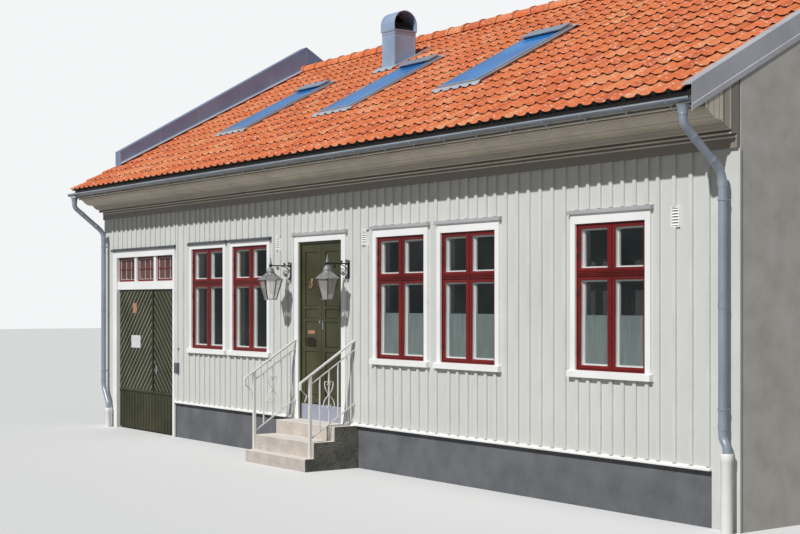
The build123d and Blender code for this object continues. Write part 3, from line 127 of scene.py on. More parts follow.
def addBox(built, x0, x1, y0, y1, z0, z1, arris=0.0):
    x0, x1 = sorted((x0, x1))
    y0, y1 = sorted((y0, y1))
    plan = ((x0, y0), (x1, y0), (x1, y1), (x0, y1))
    addCorners(built, [(x, y, z) for z in (z0, z1) for x, y in plan], arris)


def addRing(built, x0, x1, z0, z1, bar, front, back, slope=0.0):
    # a rectangular sash or lining: four bars of one width, the inner edge of its front sloping back
    section = [(0, back), (0, front), (bar - slope, front), (bar, back)]
    if slope:
        section.insert(3, (bar, front + (back - front) * 0.4))
    loops = []
    for inward, y in section:
        a, b, c, d = x0 + inward, x1 - inward, z0 + inward, z1 - inward
        loops.append([built.verts.new((x, y, z)) for x, z in ((a, c), (b, c), (b, d), (a, d))])
    joinRings(built, loops, closed=True)


def inset(outline, amount):
    # a convex outline, counter-clockwise, with every side moved in by amount
    result = []
    count = len(outline)
    for i in range(count):
        before, here, after = (Vector(outline[j % count]) for j in (i - 1, i, i + 1))
        a, b = (here - before).normalized(), (after - here).normalized()
        na, nb = Vector((-a.y, a.x)), Vector((-b.y, b.x))
        result.append(here + (na + nb) * (amount / (1 + na.dot(nb))))
    return result


def clipped(outline, normal, limit):
    # what is left of a convex outline where its distance along normal stays under limit
    result = []
    for i, here in enumerate(outline):
        before = outline[i - 1]
        dHere, dBefore = here.dot(normal) - limit, before.dot(normal) - limit
        if dHere * dBefore < 0:
            result.append(before + (here - before) * (dBefore / (dBefore - dHere)))
        if dHere <= 0:
            result.append(here)
    return result


def addPlate(built, outline, origin, thickness, arris, litEdge=None):
    # a plate with a bevelled front, facing the street; bevels towards litEdge take the second material
    rings = []
    for shape, depth in ((outline, 0), (outline, thickness - arris), (inset(outline, arris), thickness)):
        rings.append([built.verts.new(origin + Vector((p[0], -depth, p[1]))) for p in shape])
    joinRings(built, rings)
    if litEdge is None:
        return
    built.faces.ensure_lookup_table()
    count = len(outline)
    for i, face in enumerate(built.faces[-count - 2:-2]):
        side = Vector(outline[(i + 1) % count]) - Vector(outline[i])
        if Vector((side.y, -side.x)).normalized().dot(Vector(litEdge)) > 0.5:
            face.material_index = 1


def rectangle(x0, x1, z0, z1):
    return [Vector(p) for p in ((x0, z0), (x1, z0), (x1, z1), (x0, z1))]


def rounded(route, bend, steps=6):
    # the route with a smooth bend at each corner, starting bend metres before it
    path = [Vector(route[0])]
    for before, corner, after in zip(route, route[1:], route[2:]):
        before, corner, after = Vector(before), Vector(corner), Vector(after)
        reach = min(bend, (corner - before).length * 0.48, (after - corner).length * 0.48)
        start = corner + (before - corner).normalized() * reach
        end = corner + (after - corner).normalized() * reach
        for k in range(steps + 1):
            t = k / steps
            path.append(start * (1 - t) ** 2 + corner * 2 * t * (1 - t) + end * t ** 2)
    path.append(Vector(route[-1]))
    return path


def addTube(built, path, radius, sides=16):
    # a round bar or pipe along a path; radius is a number, or a function of 0 to 1 along the path
    across = None
    rings = []
    for i, point in enumerate(path):
        along = (Vector(path[min(i + 1, len(path) - 1)]) - Vector(path[max(i - 1, 0)])).normalized()
        across = along.orthogonal() if across is None else across
        across = (across - along * across.dot(along)).normalized()
        size = radius(i / (len(path) - 1)) if callable(radius) else radius
        rings.append(circleVerts(built, Vector(point), across, along.cross(across), size, sides))
    joinRings(built, rings)


def addTurned(built, base, axis, profile, sides=16):
    # a turned piece: (distance along the axis, radius) pairs
    across = axis.orthogonal().normalized()
    up = axis.cross(across)
    joinRings(built, [circleVerts(built, Vector(base) + axis * distance, across, up, radius, sides)
                      for distance, radius in profile])


def addObject(name, mesh, materials, sharpAngle=None):
    for material in materials:
        mesh.materials.append(material)
    if sharpAngle:
        mesh.polygons.foreach_set("use_smooth", [True] * len(mesh.polygons))
        mesh.set_sharp_from_angle(angle=math.radians(sharpAngle))
    made = bpy.data.objects.new(name, mesh)
    bpy.context.scene.collection.objects.link(made)
    return made


def pointMesh(name, points, faces):
    mesh = bpy.data.meshes.new(name)
    mesh.from_pydata([tuple(p) for p in points], [], faces)
    mesh.update()
    return mesh


def place(piece, body, slotName, *replaced):
    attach(piece, body)
    if replaced:
        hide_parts(*replaced)


def addPiece(name, built, materials, slotName, *replaced, body="house", smooth=False):
    # the finished piece: its mesh, its materials, what it moves with and which nodes it replaces
    bmesh.ops.recalc_face_normals(built, faces=built.faces)
    mesh = bpy.data.meshes.new(name)
    built.to_mesh(mesh)
    built.free()
    materials = materials if isinstance(materials, tuple) else (materials,)
    place(addObject(name, mesh, materials, 38 if smooth else None), body, slotName, *replaced)


def newMeshes(count):
    return [bmesh.new() for _ in range(count)]


# Making materials
def linear(hexCode):
    values = [int(hexCode[i:i + 2], 16) / 255 for i in (1, 3, 5)]
    return tuple([v / 12.92 if v <= 0.04045 else ((v + 0.055) / 1.055) ** 2.4 for v in values] + [1.0])


def addNode(tree, kind, settings=None, inputs=None):
    made = tree.nodes.new(kind)
    for name, value in (settings or {}).items():
        setattr(made, name, value)
    for socket, value in (inputs or {}).items():
        if isinstance(value, bpy.types.NodeSocket):
            tree.links.new(value, made.inputs[socket])
        else:
            made.inputs[socket].default_value = value
    return made


def startMaterial(name, values):
    material = bpy.data.materials.new(name)
    material.use_nodes = True
    tree = material.node_tree
    shader = tree.nodes["Principled BSDF"]
    for socket, value in values.items():
        shader.inputs[socket].default_value = value
    return material, tree, addNode(tree, "ShaderNodeTexCoord").outputs["Object"]


def endMaterial(material, colour, height, depth, roughness=None):
    # depth is the real relief in metres
    tree = material.node_tree
    inputs = tree.nodes["Principled BSDF"].inputs
    tree.links.new(colour, inputs["Base Color"])
    if roughness is not None:
        tree.links.new(roughness, inputs["Roughness"])
    relief = addNode(tree, "ShaderNodeBump", inputs={"Height": height, "Distance": depth, "Strength": 1.0})
    tree.links.new(relief.outputs["Normal"], inputs["Normal"])
    return material


def tones(tree, source, *stops):
    # a colour ramp of (place, hex) stops
    ramp = addNode(tree, "ShaderNodeValToRGB", inputs={"Fac": source})
    elements = ramp.color_ramp.elements
    while len(elements) < len(stops):
        elements.new(0.5)
    for element, (place, hexCode) in zip(elements, stops):
        element.position = place
        element.color = linear(hexCode)
    return ramp.outputs["Color"]


def pattern(tree, place, size, detail=4.0, stretch=(1, 1, 1), roughness=0.55):
    # a noise whose features are about size metres across, drawn out along an axis by stretch
    spread = addNode(tree, "ShaderNodeMapping", inputs={
        "Vector": place, "Scale": tuple(1 / (size * s) for s in stretch)})
    return addNode(tree, "ShaderNodeTexNoise", inputs={
        "Vector": spread.outputs["Vector"], "Scale": 1.0, "Detail": detail,
        "Roughness": roughness}).outputs["Fac"]


def blendTones(tree, amount, first, second, kind="MIX"):
    mixed = addNode(tree, "ShaderNodeMix", {"data_type": "RGBA", "blend_type": kind},
                    {0: amount, 6: first, 7: second})
    return mixed.outputs[2]


def reshape(tree, source, low, high, toLow, toHigh):
    return addNode(tree, "ShaderNodeMapRange", inputs={
        "Value": source, "From Min": low, "From Max": high,
        "To Min": toLow, "To Max": toHigh}).outputs["Result"]


def overlay(tree, base, hexCode, source, low, high, toLow, toHigh, kind="MIX"):
    # a tone over base, in the share from toLow to toHigh while source goes from low to high
    return blendTones(tree, reshape(tree, source, low, high, toLow, toHigh), base, linear(hexCode), kind)


def calculate(tree, operation, first, second=0.0):
    return addNode(tree, "ShaderNodeMath", {"operation": operation}, {0: first, 1: second}).outputs[0]


def axesOf(tree, vector):
    return addNode(tree, "ShaderNodeSeparateXYZ", inputs={"Vector": vector}).outputs


def facing(tree, axis):
    # how far the surface faces along an axis of the house, from -1 to 1
    return axesOf(tree, addNode(tree, "ShaderNodeNewGeometry").outputs["Normal"])[axis]


def paintedPine(name, colour, shade, along, gloss=0.45, wear=None, relief=0.0006):
    # Pine planed and brushed with alkyd paint: the brush leaves lines about 1 mm apart along
    # the grain, and the film takes up dust and dulls in patches.
    # Brush lines are drawn 6 mm apart, because 1 mm doesn't show at this distance.
    material, tree, place = startMaterial(name, {"IOR": 1.5, "Specular IOR Level": 0.3})
    stretch = {"x": (40, 1, 1), "y": (1, 40, 1), "z": (1, 1, 40)}[along]
    brush = pattern(tree, place, 0.006, 3.0, stretch)
    patch = pattern(tree, place, 0.45, 3.0)
    base = tones(tree, patch, (0.3, shade), (0.62, colour))
    lined = overlay(tree, base, shade, brush, 0.35, 0.7, 0.0, 0.22)
    if wear:
        lined = overlay(tree, lined, wear, pattern(tree, place, 0.035, 5.0, stretch), 0.62, 0.74, 0.0, 0.5)
    dulled = reshape(tree, patch, 0.3, 0.7, gloss + 0.08, gloss - 0.06)
    return endMaterial(material, lined, brush, relief, dulled)


def boardedWall(name, colour, shade, inside, boardWidth):
    # Upright wall boards, each a plank wide, so each takes the oil paint a little differently.
    # Rain splash greys the lowest 0.4 m. The inner face of the wall is papered, and its dark tone is
    # painted shade for the dim rooms.
    material, tree, place = startMaterial(name, {"IOR": 1.5})
    axes = axesOf(tree, place)
    whole = calculate(tree, "FLOOR", calculate(tree, "DIVIDE", axes["X"], boardWidth))
    own = addNode(tree, "ShaderNodeTexWhiteNoise", {"noise_dimensions": "1D"}, {"W": whole})
    brush = pattern(tree, place, 0.007, 3.0, (1, 1, 40))
    patch = pattern(tree, place, 0.7, 4.0, (1, 1, 1.6))
    base = tones(tree, patch, (0.25, shade), (0.6, colour))
    board = overlay(tree, base, shade, own.outputs["Value"], 0, 1, 0.0, 0.35)
    lined = overlay(tree, board, shade, brush, 0.35, 0.7, 0.0, 0.25)
    splash = reshape(tree, axes["Z"], plinthTop + 0.4, plinthTop, 0.0, 0.3)
    soiled = blendTones(tree, calculate(tree, "MULTIPLY", splash, patch), lined, linear("#b3b0a5"))
    depth = calculate(tree, "MINIMUM", calculate(tree, "SUBTRACT", axes["Y"], wallFace),
                      calculate(tree, "SUBTRACT", rearFace, axes["Y"]))
    # the dark inside tone is painted shade on the inner faces of the walls
    paperedInShade = overlay(tree, soiled, inside, depth, 0.19, 0.195, 0.0, 1.0)
    return endMaterial(material, paperedInShade, brush, 0.0006, reshape(tree, patch, 0.3, 0.7, 0.58, 0.45))


def firedClay(name):
    # Pressed clay pantiles, fired and unglazed: each comes out of the kiln in its own orange,
    # the open body is sandy to the eye and the tops carry pale lime bloom. The near-black on the tiles'
    # lower edges, undersides and ridge laps is painted shade in the gaps between them.
    # The sand is drawn 5 mm across, because its real 0.5 mm doesn't show here.
    material, tree, place = startMaterial(name, {"IOR": 1.5, "Roughness": 0.82})
    own = addNode(tree, "ShaderNodeAttribute", {"attribute_name": "toneAndEdgeShade"}).outputs["Fac"]
    sand = pattern(tree, place, 0.005, 3.0)
    cloud = pattern(tree, place, 0.11, 4.0)
    bloom = pattern(tree, place, 0.026, 3.0, (2.2, 1, 1))
    # values under 0.16 mark tile edges and undersides, painted near-black as painted shade
    base = tones(tree, own, (0.0, "#1c100c"), (0.14, "#33201a"), (0.2, "#bb582f"), (0.45, "#d36b3a"),
                 (0.75, "#dd7842"), (1.0, "#df9565"))
    fired = overlay(tree, base, "#c8856a", cloud, 0.42, 0.7, 0.0, 0.5, "MULTIPLY")
    warm = overlay(tree, base, "#dc7f4d", cloud, 0.3, 0.5, 0.35, 0.0)
    sandy = overlay(tree, blendTones(tree, 0.72, fired, warm), "#e09f7c", sand, 0.5, 0.75, 0.0, 0.3)
    # kept leaves the painted-shade edges out of the sand and bloom
    kept = reshape(tree, own, 0.16, 0.2, 0.0, 1.0)
    pale = calculate(tree, "MULTIPLY", reshape(tree, bloom, 0.59, 0.67, 0.0, 0.8), kept)
    limed = blendTones(tree, pale, blendTones(tree, kept, base, sandy), linear("#ecd3c6"))
    return endMaterial(material, limed, sand, 0.0012)


def coatedSheet(name, colour, shade, gloss=0.38):
    # Folded steel sheet with a baked coating: even and satin, with faint oil-canning and rain streaks.
    material, tree, place = startMaterial(name, {"IOR": 1.5, "Metallic": 0.2})
    patch = pattern(tree, place, 0.5, 3.0)
    streak = pattern(tree, place, 0.03, 3.0, (1, 1, 14))
    base = tones(tree, patch, (0.3, shade), (0.65, colour))
    run = overlay(tree, base, shade, streak, 0.5, 0.75, 0.0, 0.3)
    washed = reshape(tree, streak, 0.3, 0.7, gloss - 0.05, gloss + 0.1)
    return endMaterial(material, run, patch, 0.002, washed)


def limeRender(name, colour, shade, light):
    # Sand and lime render floated by hand and painted: the grain of 2 to 4 mm sand and trowel clouds.
    material, tree, place = startMaterial(name, {"IOR": 1.5, "Roughness": 0.9})
    sand = pattern(tree, place, 0.009, 3.0)
    base = tones(tree, pattern(tree, place, 0.3, 4.0), (0.3, shade), (0.5, colour), (0.75, light))
    specked = overlay(tree, base, light, sand, 0.55, 0.8, 0.0, 0.35)
    chipped = overlay(tree, specked, "#b9b9b6", pattern(tree, place, 0.02, 2.0), 0.77, 0.8, 0.0, 0.6)
    return endMaterial(material, chipped, sand, 0.003)


def dressedStone(name, colour, shade, light, flankShadeTone):
    # Granite dressed with a bush hammer: crystals 3 to 6 mm across on a pecked face. Upward faces are
    # painted paler as painted light, and faces towards +X, at the end away from the gate, are painted dark
    # green-grey as painted shade.
    material, tree, place = startMaterial(name, {"IOR": 1.55, "Roughness": 0.8})
    crystal = addNode(tree, "ShaderNodeTexVoronoi", inputs={"Vector": place, "Scale": 1 / 0.008})
    cloud = pattern(tree, place, 0.2, 4.0)
    base = tones(tree, cloud, (0.3, shade), (0.6, colour))
    paintedTreadLight = overlay(tree, base, light, facing(tree, "Z"), 0.3, 0.9, 0.0, 0.75)
    grained = overlay(tree, paintedTreadLight, light, crystal.outputs["Distance"], 0.2, 0.6, 0.0, 0.35)
    paintedFlankShade = calculate(tree, "MULTIPLY", reshape(tree, facing(tree, "X"), 0.4, 0.8, 0.0, 1.0),
                     reshape(tree, cloud, 0.3, 0.6, 0.75, 1.0))
    flankShaded = blendTones(tree, paintedFlankShade, grained, linear(flankShadeTone))
    return endMaterial(material, flankShaded, pattern(tree, place, 0.03, 5.0), 0.012)


def floatGlass(name, tint, clear, light="#5f6866"):
    # Float glass: mostly seen through, a little tinted, with a hard reflection of the sky.
    material, tree, place = startMaterial(name, {"IOR": 1.5, "Roughness": 0.03, "Alpha": 1 - clear})
    wave = pattern(tree, place, 0.5, 1.0)
    return endMaterial(material, tones(tree, wave, (0.3, tint), (0.75, light)), wave, 0.0006)


def skyGlass(name, colour, shade):
    # Coated roof glazing: its blue base colour is a painted reflection of the clear sky, deeper in cloudy
    # patches.
    material, tree, place = startMaterial(name, {"IOR": 1.5, "Roughness": 0.12, "Specular IOR Level": 0.1})
    cloud = tones(tree, pattern(tree, place, 1.1, 2.0), (0.35, shade), (0.65, colour))
    return endMaterial(material, cloud, pattern(tree, place, 0.4, 1.0), 0.0004)


def frostedFilm(name, colour, shade):
    # Etched film stuck on the pane: milky and matt, with faint streaks from the squeegee.
    material, tree, place = startMaterial(name, {"IOR": 1.5, "Roughness": 0.55})
    streak = tones(tree, pattern(tree, place, 0.05, 3.0, (1, 1, 9)), (0.35, shade), (0.65, colour))
    return endMaterial(material, streak, pattern(tree, place, 0.003, 2.0), 0.0003)


def castMetal(name, colour, shade, metallic, roughness, grain=0.012):
    # Forged or cast metal, blackened, oiled or left to dull: mottled tone and a slightly uneven skin.
    material, tree, place = startMaterial(name, {"Metallic": metallic})
    mottle = pattern(tree, place, grain, 4.0)
    return endMaterial(material, tones(tree, mottle, (0.35, shade), (0.65, colour)), mottle, 0.0008,
                       reshape(tree, mottle, 0.3, 0.7, roughness + 0.1, roughness - 0.06))


def mouldedCornice(name, colour, shade, light, quirkShade="#4c4640", under="#6d665f"):
    # Planed mouldings in greige oil paint, with light and shade painted in bands: painted shade in the
    # quirks and nearest the wall, painted highlights on the lit mouldings, and a darker outer board as
    # painted shadow under the gutter.
    # The bands run outwards from the wall, from one share of the cornice's reach to another.
    material, tree, place = startMaterial(name, {"IOR": 1.5, "Roughness": 0.55})
    half = (rearFace - wallFace) / 2
    fromMiddle = calculate(tree, "ABSOLUTE", calculate(tree, "SUBTRACT", axesOf(tree, place)["Y"],
                                                       (wallFace + rearFace) / 2))
    reach = reshape(tree, fromMiddle, half, half + 0.56, 0.0, 1.0)
    brush = pattern(tree, place, 0.006, 3.0, (40, 1, 1))
    # the dark bands are painted shade in the quirks, the light ones painted highlights
    bands = ((shade, 0.0, 0.165), (quirkShade, 0.172, 0.182), (light, 0.190, 0.215), (colour, 0.225, 0.345),
             (quirkShade, 0.350, 0.372), (light, 0.380, 0.455), (colour, 0.460, 0.472), (light, 0.477, 0.580),
             (colour, 0.585, 0.597), (light, 0.602, 0.705), (quirkShade, 0.710, 0.722), (light, 0.727, 0.795),
             (quirkShade, 0.800, 0.820))
    stops = [(edge, tone) for tone, *edges in bands for edge in edges]
    # the last stop darkens the outer board: painted shadow under the gutter
    base = tones(tree, reach, *stops, (0.826, colour), (0.880, under))
    dusty = overlay(tree, base, shade, pattern(tree, place, 0.5, 3.0), 0.3, 0.62, 0.35, 0.0)
    return endMaterial(material, overlay(tree, dusty, shade, brush, 0.35, 0.7, 0.0, 0.3), brush, 0.0006)


# the fourth colour is painted shade for the dim inside of the walls
wallPaint = boardedWall("oilPaintedWallBoards", "#d6d7d2", "#cccdc8", "#4e4a44", 0.178)
battenPaint = paintedPine("oilPaintedBattens", "#d8d9d4", "#cdcec9", "z", 0.5)
whitePaint = paintedPine("whiteAlkydPaintedPine", "#f7f7f5", "#ececea", "z", 0.4)
innerSashPaint = paintedPine("whiteInnerSashPaint", "#fafaf8", "#f2f2f0", "z", 0.4)
whiteRailPaint = paintedPine("whitePaintedWaterBoard", "#f3f3f1", "#e6e6e3", "x", 0.42)
redPaint = paintedPine("redAlkydPaintedSash", "#7a1713", "#64100d", "z", 0.34)
greenPaint = paintedPine("oliveAlkydPaintedPine", "#47462a", "#35341e", "z", 0.3, None, 0.0004)
gatePaint = paintedPine("oliveOilPaintedGate", "#2e2e17", "#20200f", "z", 0.55, "#3c3b20")
# the pale edge paint is a painted highlight on bevels towards the light, the lighter olive a painted sheen,
# and the near-black strip painted shade in the gap between the leaves
gateEdgeHighlight = paintedPine("paintedHighlightOliveEdge", "#d6d5bd", "#b5b497", "z", 0.55)
gateEdgeSheen = paintedPine("paintedSheenOliveEdge", "#6c6b48", "#57563a", "z", 0.4)
gateSeamShade = paintedPine("paintedShadeMeetingStrip", "#1c1b10", "#15140c", "z", 0.5)
cornicePaintAndShade = mouldedCornice("greigeMouldingPaintedShade", "#b3a99b", "#8b837a", "#ebdfcc")
filletHighlight = paintedPine("paintedHighlightFillet", "#eee5d5", "#dbd1c0", "x", 0.5)
floorPine = paintedPine("planedSprucePlanks", "#6f5a40", "#5a4832", "x", 0.5)
sawnPine = paintedPine("sawnSpruceSarking", "#7d6749", "#5f4d36", "y", 0.7)
# also used as painted shade in the vent slots, under the eave rolls and inside the cowl
feltAndShadeBlack = paintedPine("blackFeltAndPaintedShade", "#1f1d1c", "#161514", "x", 0.85)
clay = firedClay("firedClayPantile")
paleSheet = coatedSheet("paleCoatedSteelCap", "#bfc3ca", "#aab0b8")
coverSheet = coatedSheet("paleCoatedDripCover", "#bcbdbd", "#a8a9a9", 0.45)
vergeSheet = coatedSheet("coatedSteelVerge", "#c5c4c8", "#b4b3b8", 0.42)
stackSheet = coatedSheet("blueGreyCoatedSteel", "#a8bdd6", "#92a6c2", 0.4)
upstandSheet = coatedSheet("coatedSteelUpstand", "#8592b0", "#74809d", 0.45)
gutterSheet = coatedSheet("coatedSteelGutter", "#9ba4b0", "#8992a0", 0.34)
# a darker coating for the gutter's trough: painted shade
troughShade = coatedSheet("coatedSteelTroughPaintedShade", "#7f8791", "#6c737e", 0.36)
darkSheet = coatedSheet("darkCoatedSteelTrim", "#54575b", "#43464a", 0.4)
thresholdPaint = coatedSheet("enamelledThresholdPlate", "#a6aaba", "#9599ab", 0.35)
plinthRender = limeRender("tarGreyPlinthRender", "#65676a", "#595b5e", "#717376")
partyRender = limeRender("limeWashedPartyWall", "#c4c1b9", "#b6b3aa", "#cfccc5")
# the last colour is painted shade for the flanks turned towards +X
stepGranite = dressedStone("bushHammeredGranite", "#bcb1a5", "#9f9387", "#eee8e0", "#4d4e47")
windowPane = floatGlass("floatGlassPane", "#3c4644", 0.88)
# nearly opaque and dark: painted shade for the dark rooms behind the yard windows
yardPaneShade = floatGlass("floatGlassPanePaintedShade", "#3a4040", 0.2)
# the reddish-brown colour is a painted reflection in the panes
transomPaneReflection = floatGlass("transomPanePaintedReflection", "#4d2d23", 0.25, "#76513f")
lanternPane = floatGlass("drawnGlassLantern", "#f0ebe5", 0.82, "#dcd5ce")
roofPaneSkyReflection = skyGlass("roofGlassPaintedSkyReflection", "#2a87d2", "#1d6cb6")
filmWhite = frostedFilm("etchedWindowFilm", "#85938f", "#727f7d")
whiteSteel = castMetal("whiteEnamelledWroughtIron", "#e8e7e3", "#dad8d3", 0.0, 0.4)
darkIron = castMetal("blackenedWroughtIron", "#25282a", "#191b1d", 0.5, 0.5)
brightSteel = castMetal("brushedSteelLever", "#c3c4c6", "#a2a3a6", 1.0, 0.3)
agedBrass = castMetal("dulledBrass", "#b3907a", "#7d5f4a", 0.6, 0.4)
darkBronze = castMetal("darkBronzePlate", "#4c3d2c", "#352a1f", 0.9, 0.4)
hingeSteel = castMetal("redPaintedHinge", "#581714", "#3c0f0d", 0.0, 0.45)
redCopper = castMetal("redCopperPlate", "#d6a27c", "#a9694a", 0.3, 0.4)
lanternCopper = castMetal("weatheredCopperSheet", "#9b9a9a", "#787678", 0.2, 0.45, 0.03)
pipePlastic = castMetal("mouldedWhitePipe", "#f2f2f0", "#e9e9e6", 0.0, 0.4, 0.2)
blankCard = castMetal("blankWhiteNoticeCard", "#dcdcdc", "#d0d0d0", 0.0, 0.55, 0.08)
greyPlastic = castMetal("mouldedGreyBox", "#5d6067", "#50535a", 0.0, 0.5, 0.05)
print("materials made:", len(bpy.data.materials))

# Which material each node of the model takes
finishes = {
    plinthRender: ("plinths", "passage_foundation"), partyRender: ("party_walls",),
    wallPaint: ("front_wall_at_gate", "front_wall_over_gate", "front_wall_left", "front_wall_over_door",
                "front_wall_right", "rear_wall"),
    floorPine: ("ground_floor", "attic_floor"), sawnPine: ("roof_deck_front", "roof_deck_rear"),
    redPaint: ("window_frames", "gate_transom_sashes"), windowPane: ("window_glass",),
    whitePaint: ("window_casings", "gate_frame", "door_casing", "wall_vents"),
    transomPaneReflection: ("gate_transom_glass",), gatePaint: ("gate_leaf_left", "gate_leaf_right"),
    greenPaint: ("door_frame", "door_leaf_left", "door_leaf_right"), thresholdPaint: ("door_threshold",),
    brightSteel: ("gate_handle", "door_handle"), agedBrass: ("door_fittings",),
    stepGranite: ("landing", "middle_step", "bottom_step"), whiteSteel: ("railings",),
    darkIron: ("lantern_brackets",), lanternCopper: ("lantern_heads",), lanternPane: ("lantern_glass",),
    cornicePaintAndShade: ("cornices",), whiteRailPaint: ("water_boards",), battenPaint: ("corner_boards",),
    clay: ("tiles_front", "tiles_rear", "ridge_tiles"), upstandSheet: ("upstand_left",),
    vergeSheet: ("verge_right",), gutterSheet: ("roof_window_frames", "downpipes"),
    roofPaneSkyReflection: ("roof_window_glass",), stackSheet: ("vent_stack", "vent_cowl"), troughShade: ("gutters",),
    pipePlastic: ("ground_pipes",),
}
for material, nodeNames in finishes.items():
    for name in nodeNames:
        mesh = nodes[name].data
        mesh.materials.clear()
        mesh.materials.append(material)
print("finishes set on", sum(len(names) for names in finishes.values()), "of", len(nodes), "nodes")


# Openings in the walls, measured from the left party line and from the plinth's top
openings = {
    "lowWindows": (3.700, 4.955), "tallWindows": (8.560, 9.855, 12.110),
    "windowWidth": 0.98, "windowFoot": 0.855, "windowHeight": 1.483,
    "stile": 0.052, "mullion": 0.107, "lowerLight": 0.859, "crossRail": 0.124,
    "casing": 0.07, "lowHead": 0.07, "tallHead": 0.11,
    "sillHeight": 0.07, "overhang": 0.025, "dripReach": 0.045, "dripEdge": 0.018, "dripRise": 0.034,
    "gateLeft": 0.545, "gateWidth": 2.04, "gateHead": 2.391, "gateLintel": 1.750,
    "gateCasings": (0.155, 0.065), "gateMeeting": 1.275,
    "doorLeft": 6.260, "doorWidth": 1.04, "doorHead": 2.34, "doorCasing": 0.095,
    "vents": (5.73, 7.80, 12.985), "ventFoot": 2.25, "ventSize": (0.107, 0.19),
}
gateX0 = station(openings["gateLeft"])
gateX1 = gateX0 + openings["gateWidth"]
gateTop = above(openings["gateHead"])
doorX0 = station(openings["doorLeft"])
doorX1 = doorX0 + openings["doorWidth"]
doorTop = above(openings["doorHead"] + openings["doorCasing"])
halfWindow = openings["windowWidth"] / 2
windowFoot = above(openings["windowFoot"])
windowHead = windowFoot + openings["windowHeight"]
railFoot = windowFoot + openings["stile"] + openings["lowerLight"]    # the cross rail of a window
railHead = railFoot + openings["crossRail"]

# Every window: middle in X, wall face, which way is out along Y, head board, and if it has film
low, tall, lowHead = openings["lowWindows"], openings["tallWindows"], openings["lowHead"]
windows = [(station(middle), wallFace, -1, lowHead, False) for middle in low]
windows += [(station(middle), wallFace, -1, openings["tallHead"], True) for middle in tall]
windows += [(station(houseLength - middle), rearFace, 1, lowHead, False) for middle in low + tall]


# Battens over the board joints
battens = {
    "width": 0.046, "depth": 0.026, "arris": 0.005, "foot": 0.036, "shortest": 0.03, "endInset": 0.33,
    "streetRuns": ((-6.50, 0.174), (-4.15, 0.190), (-3.44, 0.157), (-2.50, 0.175),    # start in X, pitch
                   (2.640, 0.165), (3.648, 0.186), (4.764, 0.163), (5.888, 0.208)),
    "yardPitch": 0.178,
}


def dripBlocks(x0, x1, foot, head):
    # the wall that a casing and the drip over it cover: x0, x1, z0, z1
    o = openings
    lip, top = o["overhang"], head + o["dripRise"]
    return [(x0, x1, foot, top), (x0 - lip, x1 + lip, head - 0.008, top)]


def battenRow(name, face, outwards, places, blocks):
    built = bmesh.new()
    half = battens["width"] / 2
    section = chamfered(battens["width"], battens["depth"], battens["arris"])
    for x in places:
        runs = [(above(battens["foot"]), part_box("cornices")[0].z)]
        for x0, x1, z0, z1 in blocks:
            if x + half <= x0 or x - half >= x1:
                continue
            left = []
            for low, high in runs:
                if z0 > low:
                    left.append((low, min(high, z0)))
                if z1 < high:
                    left.append((max(low, z1), high))
            runs = left
        for low, high in runs:
            if high - low > battens["shortest"]:
                addPrism(built, section, Vector((x, face, low)), Vector((x, face, high)),
                         acrossX, acrossY * outwards)
    addPiece(name, built, battenPaint, "wall_boards")


battenInset = battens["endInset"]
innerX0 = station(battenInset) + battens["width"] / 2
innerX1 = station(houseLength - battenInset) - battens["width"] / 2
streetPlaces = []
stops = [start for start, pitch in battens["streetRuns"][1:]]
for (x, pitch), stop in zip(battens["streetRuns"], stops + [innerX1 + battens["streetRuns"][-1][1] / 2]):
    while x < stop - pitch / 2:
        streetPlaces.append(min(max(x, innerX0), innerX1))
        x += pitch
yardCount = round((innerX1 - innerX0) / battens["yardPitch"])
yardPlaces = [innerX0 + (innerX1 - innerX0) * k / yardCount for k in range(yardCount + 1)]

blocks = {-1: [], 1: []}
for middle, face, outwards, headBoard, film in windows:
    half = halfWindow + openings["casing"]
    wide = half + openings["overhang"]
    sillFoot = windowFoot - openings["sillHeight"]
    casing, drip = dripBlocks(middle - half, middle + half, sillFoot, windowHead + headBoard)
    blocks[outwards] += [casing, drip, (middle - wide, middle + wide, sillFoot, windowFoot)]
gateEdges = (gateX0 - openings["gateCasings"][0], gateX1 + openings["gateCasings"][1])
doorEdges = (doorX0 - openings["doorCasing"], doorX1 + openings["doorCasing"])
blocks[-1] += dripBlocks(*gateEdges, 0, gateTop) + dripBlocks(*doorEdges, plinthTop, doorTop)
for vent in openings["vents"]:
    width, height = openings["ventSize"]
    blocks[-1].append((station(vent) - width / 2, station(vent) + width / 2,
                       above(openings["ventFoot"]), above(openings["ventFoot"] + height)))

# The battens are cut back behind the lantern plates and where the right railing meets the wall
cuts = {"lanterns": (-0.194, 0.153), "plateHalf": 0.036, "plateDrop": 0.30, "plateRise": 0.03,
        "railing": 0.277, "railHalf": 0.024, "railEnds": ((1.065, 0.03), (0.95, 0.01), (0.28, 0.01))}
lanternX = (doorX0 + cuts["lanterns"][0], doorX1 + cuts["lanterns"][1])
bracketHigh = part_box("lantern_brackets")[1].z
for x in lanternX:
    half, z0, z1 = cuts["plateHalf"], bracketHigh - cuts["plateDrop"], bracketHigh + cuts["plateRise"]
    blocks[-1].append((x - half, x + half, z0, z1))
railX, wide = doorX1 + cuts["railing"], cuts["railHalf"]
for height, half in cuts["railEnds"]:
    blocks[-1].append((railX - wide, railX + wide, above(height - half), above(height + half)))
battenRow("wallBattensStreet", wallFace, -1, streetPlaces, blocks[-1])
battenRow("wallBattensYard", rearFace, 1, yardPlaces, blocks[1])
print("battens done:", len(streetPlaces), "to the street")


